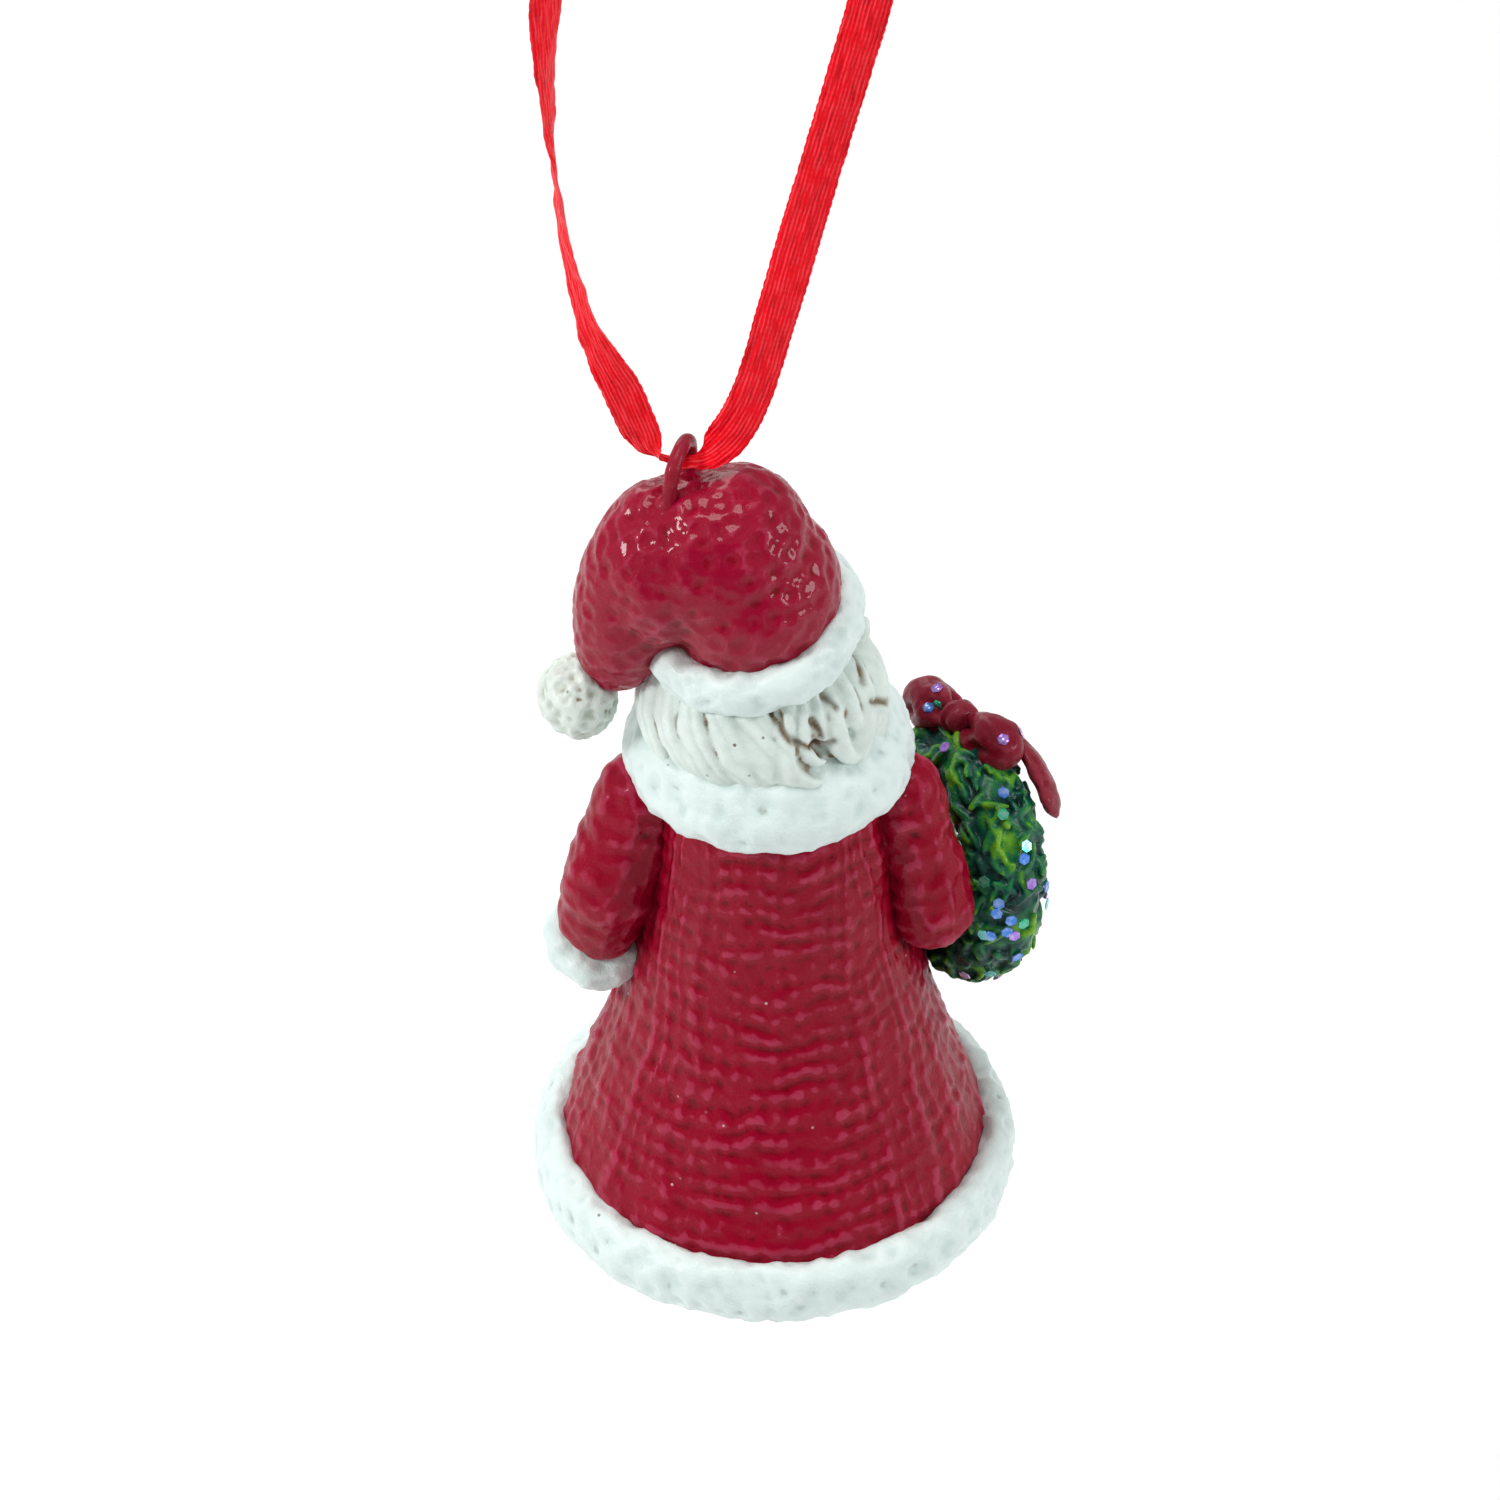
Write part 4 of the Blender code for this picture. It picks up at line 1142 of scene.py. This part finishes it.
def make_wreath(green, flake):
    """A dark ring of foliage covered in short brushed leaves, with glitter on it."""
    profile = [(WREATH_MEAN + 2.7 * cos(a), 2.7 * sin(a)) for a in arc(26, turn=-2 * pi)[:-1]]
    shape = spun(profile, 110, ring=True)
    press(shape, lambda place, normal: 0.5 * (min(cells(place, 1.3, 7.0), 0.8) - 0.5))
    draw = random.Random(12)
    for _ in range(820):
        place, out, run = on_wreath(draw.uniform(0, 360), draw.uniform(0, 360), 2.75)
        lean = draw.uniform(-65, 65) + draw.choice((0, 180))
        length, width = draw.uniform(0.9, 1.5), draw.uniform(0.26, 0.42)
        lift = draw.uniform(5, 24)
        if inside_robe(WREATH_PLACE @ place):
            continue
        direction = Matrix.Rotation(radians(lean), 3, out) @ run
        direction = (direction + out * tan(radians(lift))).normalized()
        side = direction.cross(out).normalized()
        turn = Matrix((direction, side, direction.cross(side))).transposed().to_quaternion()
        spot = Matrix.LocRotScale(place + out * 0.2, turn, Vector((length, width, 0.34)))
        bmesh.ops.create_icosphere(shape, subdivisions=2, radius=1.0, matrix=spot)
    shape = melted(shape, 0.17, 1)
    mark_hollows(shape, 8, 0.28)
    hollow, tint = shape.verts.layers.float["hollow"], shape.verts.layers.float.new("tint")
    for vert in shape.verts:
        vert[tint] = (1.15 * vert[hollow] - 0.28 + 0.55 * lumps(vert.co, 2.4, 3.0)
                      + 0.2 * lumps(vert.co, 0.9, 6.0))
    settle(moved(shape, WREATH_PLACE), "foliage_ring", "bell_figure", "wreath_green", green, "wreath")
    scatter_glitter(flake)


def add_flake(shape, tint, place, out, spin, shade):
    """Add one six-sided flake lying flat on a surface."""
    turn = out.to_track_quat("Z", "Y") @ Quaternion((0, 0, 1), spin)
    made = bmesh.ops.create_cone(shape, cap_ends=True, segments=6, radius1=0.52, radius2=0.50,
                                 depth=0.09, matrix=Matrix.LocRotScale(place, turn, None))
    for vert in made["verts"]:
        vert[tint] = shade


def scatter_glitter(flake):
    shape = bmesh.new()
    tint = shape.verts.layers.float.new("tint")
    draw = random.Random(3)
    spots_at = list(FLAKES)
    for _ in range(46):
        spots_at.append((draw.uniform(0, 360), draw.uniform(-60, 200), draw.choice(
            (0.1, 0.3, 0.5, 0.7, 0.9))))
    for around, over, shade in spots_at:
        place, out, run = on_wreath(around, over, WREATH_TUBE + 0.3)
        if inside_robe(WREATH_PLACE @ place):
            continue
        add_flake(shape, tint, place, out, draw.uniform(0, 1), shade)
    piece = settle(moved(shape, WREATH_PLACE), "glitter_flakes", "bell_figure", "wreath_green", flake)
    for face in piece.data.polygons:
        face.use_smooth = False


def make_bow(red, flake):
    """A folded bow: a pinched knot, two full loops and two tongue-shaped tails, with glitter."""
    shape = ball(bmesh.new(), BOW_KNOT, (1.25, 1.4, 1.6), around=40, rings=28)
    press(shape, lambda place, normal: 0.16 * cos(5 * place.x) * abs(normal.z)
          + 0.06 * lumps(place, 0.8, 4.0))
    finish_bow(shape, "bow_middle", red, "bow_knot")
    dust = bmesh.new()
    tint = dust.verts.layers.float.new("tint")
    for side, name, node, middle, spots_at in BOW_LOOPS:
        shape = ball(bmesh.new(), middle, (3.9, 2.4, 2.2), around=70, rings=48)

        def height_at(place, normal, side=side, middle=Vector(middle)):
            reach = clamped((side * (place.x - BOW_KNOT[0]) - 0.6) / 4.4)
            angle = atan2(place.z - middle.z, place.y - middle.y)
            fold = abs(cos(2.1 * angle + 0.4)) - 0.6
            mouth = peak(side * place.x - 4.6, 1.1) * peak(place.y - middle.y + 0.2, 0.6)
            return ((0.95 * fold - 0.5) * (1 - reach) ** 1.3 - 0.9 * mouth
                    + 0.22 * lumps(place, 1.8, 7.0) + 0.08 * lumps(place, 0.7, 2.0))

        press(shape, height_at)
        soften(shape, 1)
        shape.normal_update()
        for aim, shade in spots_at:
            there = WREATH_PLACE.to_3x3().inverted() @ Vector(aim).normalized()
            spot = max(shape.verts, key=lambda v: (v.co - Vector(middle)).normalized().dot(there))
            add_flake(dust, tint, spot.co + spot.normal * 0.03, spot.normal, 0.4, shade)
        finish_bow(shape, name, red, node)
    settle(moved(dust, WREATH_PLACE), "bow_glitter_flakes", "bell_figure", "bow_red", flake)
    for name, node, route in BOW_TAILS:
        points = smooth_line(route, 48)

        def taper(v):
            return min(1.0, 0.6 + 0.7 * v) * clamped(min(7 * (1 - v), 20 * v)) ** 0.5

        shape = rope(points, lambda v: 1.7 * taper(v), lambda v: 0.7 * taper(v),
                     lambda here: Vector((here.x, here.y - WREATH_MEAN * 0.5, here.z * 2)), around=28)
        press(shape, bumpy((0.14, 1.2, 3.0), (0.06, 0.6, 9.0)))
        finish_bow(shape, name, red, node)


def finish_bow(shape, name, red, node):
    """Mark a bow piece's hollows and put it in its place on the wreath."""
    mark_hollows(shape, 5, 0.08)
    settle(moved(shape, WREATH_PLACE), name, "bell_figure", "bow_red", red, node)


# ---- wires and clapper

EYE_WIRE, EYE_TURN = 0.6, 18
STAPLE_LOW, STAPLE_BEND, STAPLE_WIRE = 34.9, 1.6, 0.45
LINK_RADIUS, LOOP_RADIUS, THIN_WIRE, SLACK = 1.9, 1.35, 0.38, 0.3
BALL_HEIGHT, BALL_RADIUS = 6.2, 3.6


def wire_shape(points, radius, around=16, ends=True):
    """A round wire through points with rounded ends."""
    def size(v):
        last = len(points) - 1
        near = min(v, 1 - v) * last
        return radius * (sqrt(min(1.0, near / 1.2)) if ends else 1.0)

    normal = Vector((0.31, 0.77, 0.2))
    spread = [p - points[0] for p in points]
    for axis in (Vector((1, 0, 0)), Vector((0, 1, 0)), Vector((0, 0, 1))):
        if max(abs(s.dot(axis)) for s in spread) < 0.6:
            normal = axis
    return rope(points, size, size, lambda here: normal, around=around)


def make_hanging_eye(red):
    """The painted wire eye in the cap, with the paint pooled at its foot."""
    lean, across, bend, foot = 0.08, 2.2, 70.8, 65.0
    skew = tan(radians(EYE_TURN))
    outline = [(across, foot), (across, 67.0), (across, 69.0)]
    outline += [(across * cos(a), bend + across * sin(a)) for a in arc(12, turn=pi)]
    outline += [(-across, 69.0), (-across, 67.0), (-across, foot)]
    points = smooth_line([(7.05 + lean * (73.3 - z) + skew * y, RIBBON_PLANE + y, z)
                          for y, z in outline], 70)
    shape = wire_shape(points, EYE_WIRE, 20)
    press(shape, bumpy((0.05, 0.8, 3.0)))
    for sign in (-1, 1):
        ball(shape, (7.55 + skew * sign * across, RIBBON_PLANE + sign * across, 69.2),
             (0.95, 0.95, 0.7), around=24, rings=16)
    shape = melted(shape, 0.12, 3)
    cast(shape, "hanging_eye", "eye_red", red, "hanger_eye", rounds=4, depth=0.05)


def make_clapper(steel, brass):
    """A staple under the bell's ceiling, a link, and a wire with a brass ball at its foot."""
    low, bend = STAPLE_LOW, STAPLE_BEND
    staple = [Vector((bend, 0, 39.4)), Vector((bend, 0, CEILING))]
    staple += [Vector((bend * cos(a), 0, low + bend - bend * sin(a))) for a in arc(12, turn=pi)]
    staple += [Vector((-bend, 0, CEILING)), Vector((-bend, 0, 39.4))]
    settle(wire_shape(smooth_line(staple, 60), STAPLE_WIRE), "steel_staple", "bell_figure",
           "clapper_steel", steel, "clapper_staple")
    centre = low + STAPLE_WIRE + SLACK - (LINK_RADIUS - THIN_WIRE)
    ring = [Vector((0, LINK_RADIUS * cos(a), centre + LINK_RADIUS * sin(a))) for a in arc(48)]
    settle(wire_shape(ring, THIN_WIRE, ends=False), "steel_link", "clapper_link", "clapper_steel",
           steel, "clapper_link")
    link_low = centre - LINK_RADIUS
    loop_centre = link_low + THIN_WIRE + SLACK - (LOOP_RADIUS - THIN_WIRE)
    line = [Vector((0, 0, 9.2)), Vector((0, 0, 16.0)), Vector((0, 0, 24.0)),
            Vector((0, 0, link_low - 2.9)), Vector((0.22, 0, link_low - 2.05))]
    line += [Vector((LOOP_RADIUS * cos(a), 0, loop_centre + LOOP_RADIUS * sin(a)))
             for a in (radians(-50 + 265 * step / 12) for step in range(13))]
    settle(wire_shape(smooth_line(line, 130), THIN_WIRE), "steel_clapper_wire", "clapper",
           "clapper_steel", steel, "clapper_wire")
    shape = ball(bmesh.new(), (0, 0, BALL_HEIGHT), [BALL_RADIUS] * 3, around=64, rings=48)
    for vert in shape.verts:
        groove = peak(vert.co.z - BALL_HEIGHT, 0.18)
        flat = Vector((vert.co.x, vert.co.y, 0.0))
        vert.co -= flat.normalized() * 0.16 * groove if flat.length else flat
    collar = spun([(0.0, 9.4), (0.9, 9.4), (1.15, 9.6), (1.15, 10.0), (0.8, 10.25), (0.0, 10.25)], 40)
    settle(add(shape, collar), "brass_ball", "clapper", "clapper_brass", brass, "clapper_ball")


# ---- making it all

bpy.context.scene.view_settings.view_transform = "Standard"
make_camera()
make_ribbon()
make_studio()

# Each red gives its painted shade for the hollows, its body colour, and its painted pinkish sheen for
# the ridges.
CAP_RED = painted_red("cap_paint", (0.20, 0.0, 0.006), (0.31, 0.001, 0.024), (0.40, 0.028, 0.07),
                      coat=0.35)
COAT_RED = painted_red("coat_paint", (0.17, 0.0, 0.007), (0.30, 0.0, 0.018), (0.42, 0.03, 0.075),
                       speck=0.7, coat=0.16)
BOW_RED = painted_red("bow_paint", (0.08, 0.002, 0.014), (0.21, 0.006, 0.02), (0.28, 0.03, 0.05))
EYE_RED = painted_red("eye_paint", (0.12, 0.0, 0.008), (0.30, 0.012, 0.03), (0.36, 0.04, 0.07),
                      gloss=0.22)
# Each white gives its pale colour, its painted shadow colour for the dents, and its stain.
FUR_WHITE = painted_white("fur_paint", (0.76, 0.88, 0.85), (0.63, 0.77, 0.74), (0.30, 0.28, 0.22), 0.5)
HAIR_WHITE = painted_white("hair_paint", (0.77, 0.87, 0.82), (0.57, 0.67, 0.62),
                           (0.20, 0.12, 0.05), 1.0, reach=0.34)
POM_WHITE = painted_white("pom_paint", (0.75, 0.83, 0.77), (0.54, 0.60, 0.52), (0.25, 0.18, 0.10), 0.9)
RESIN = plain_paint("bare_resin", (0.62, 0.58, 0.50), (0.52, 0.48, 0.40), 0.55, 2.5)
MITTEN = plain_paint("mitten_paint", (0.008, 0.06, 0.035), (0.02, 0.12, 0.06), 0.35)
EYE_WHITE = plain_paint("eye_white_paint", (0.82, 0.80, 0.76), (0.74, 0.72, 0.66), 0.2)
IRIS = plain_paint("iris_paint", (0.02, 0.012, 0.008), (0.05, 0.03, 0.015), 0.15, 0.3)

make_robe(COAT_RED, RESIN)
make_hem(FUR_WHITE)
make_collar(FUR_WHITE)
make_front_trim(FUR_WHITE)
make_hat(CAP_RED)
make_brim(FUR_WHITE)
make_pom_pom(POM_WHITE)
make_hair(HAIR_WHITE)
make_beard(HAIR_WHITE)
make_face(skin_paint(), HAIR_WHITE, EYE_WHITE, IRIS)
make_arm("left", LEFT_ARM, (3.6, 4.0, 3.6),
         (14.2, 0.4, 24.6), (0.10, -0.40, -0.89), 4.35, ((13.9, -2.8, 21.6), (2.5, 3.0, 2.6)),
         ((12.2, -4.6, 22.6), (1.0, 1.5, 1.2)), COAT_RED, FUR_WHITE, MITTEN)
make_arm("right", RIGHT_ARM, (3.4, 3.7, 3.1),
         (-9.6, -9.4, 26.9), (0.38, -0.92, 0.08), 3.5, ((-8.7, -12.5, 27.3), (2.4, 2.8, 2.5)),
         ((-7.6, -12.3, 29.4), (1.0, 1.6, 1.1)), COAT_RED, FUR_WHITE, MITTEN)
FLAKE = glitter()
make_wreath(foliage(), FLAKE)
make_bow(BOW_RED, FLAKE)
make_hanging_eye(EYE_RED)
make_clapper(metal("clapper_steel_wire", (0.62, 0.62, 0.63), (0.36, 0.35, 0.34), 0.3),
             metal("clapper_brass_ball", (0.72, 0.52, 0.22), (0.42, 0.28, 0.11), 0.28))
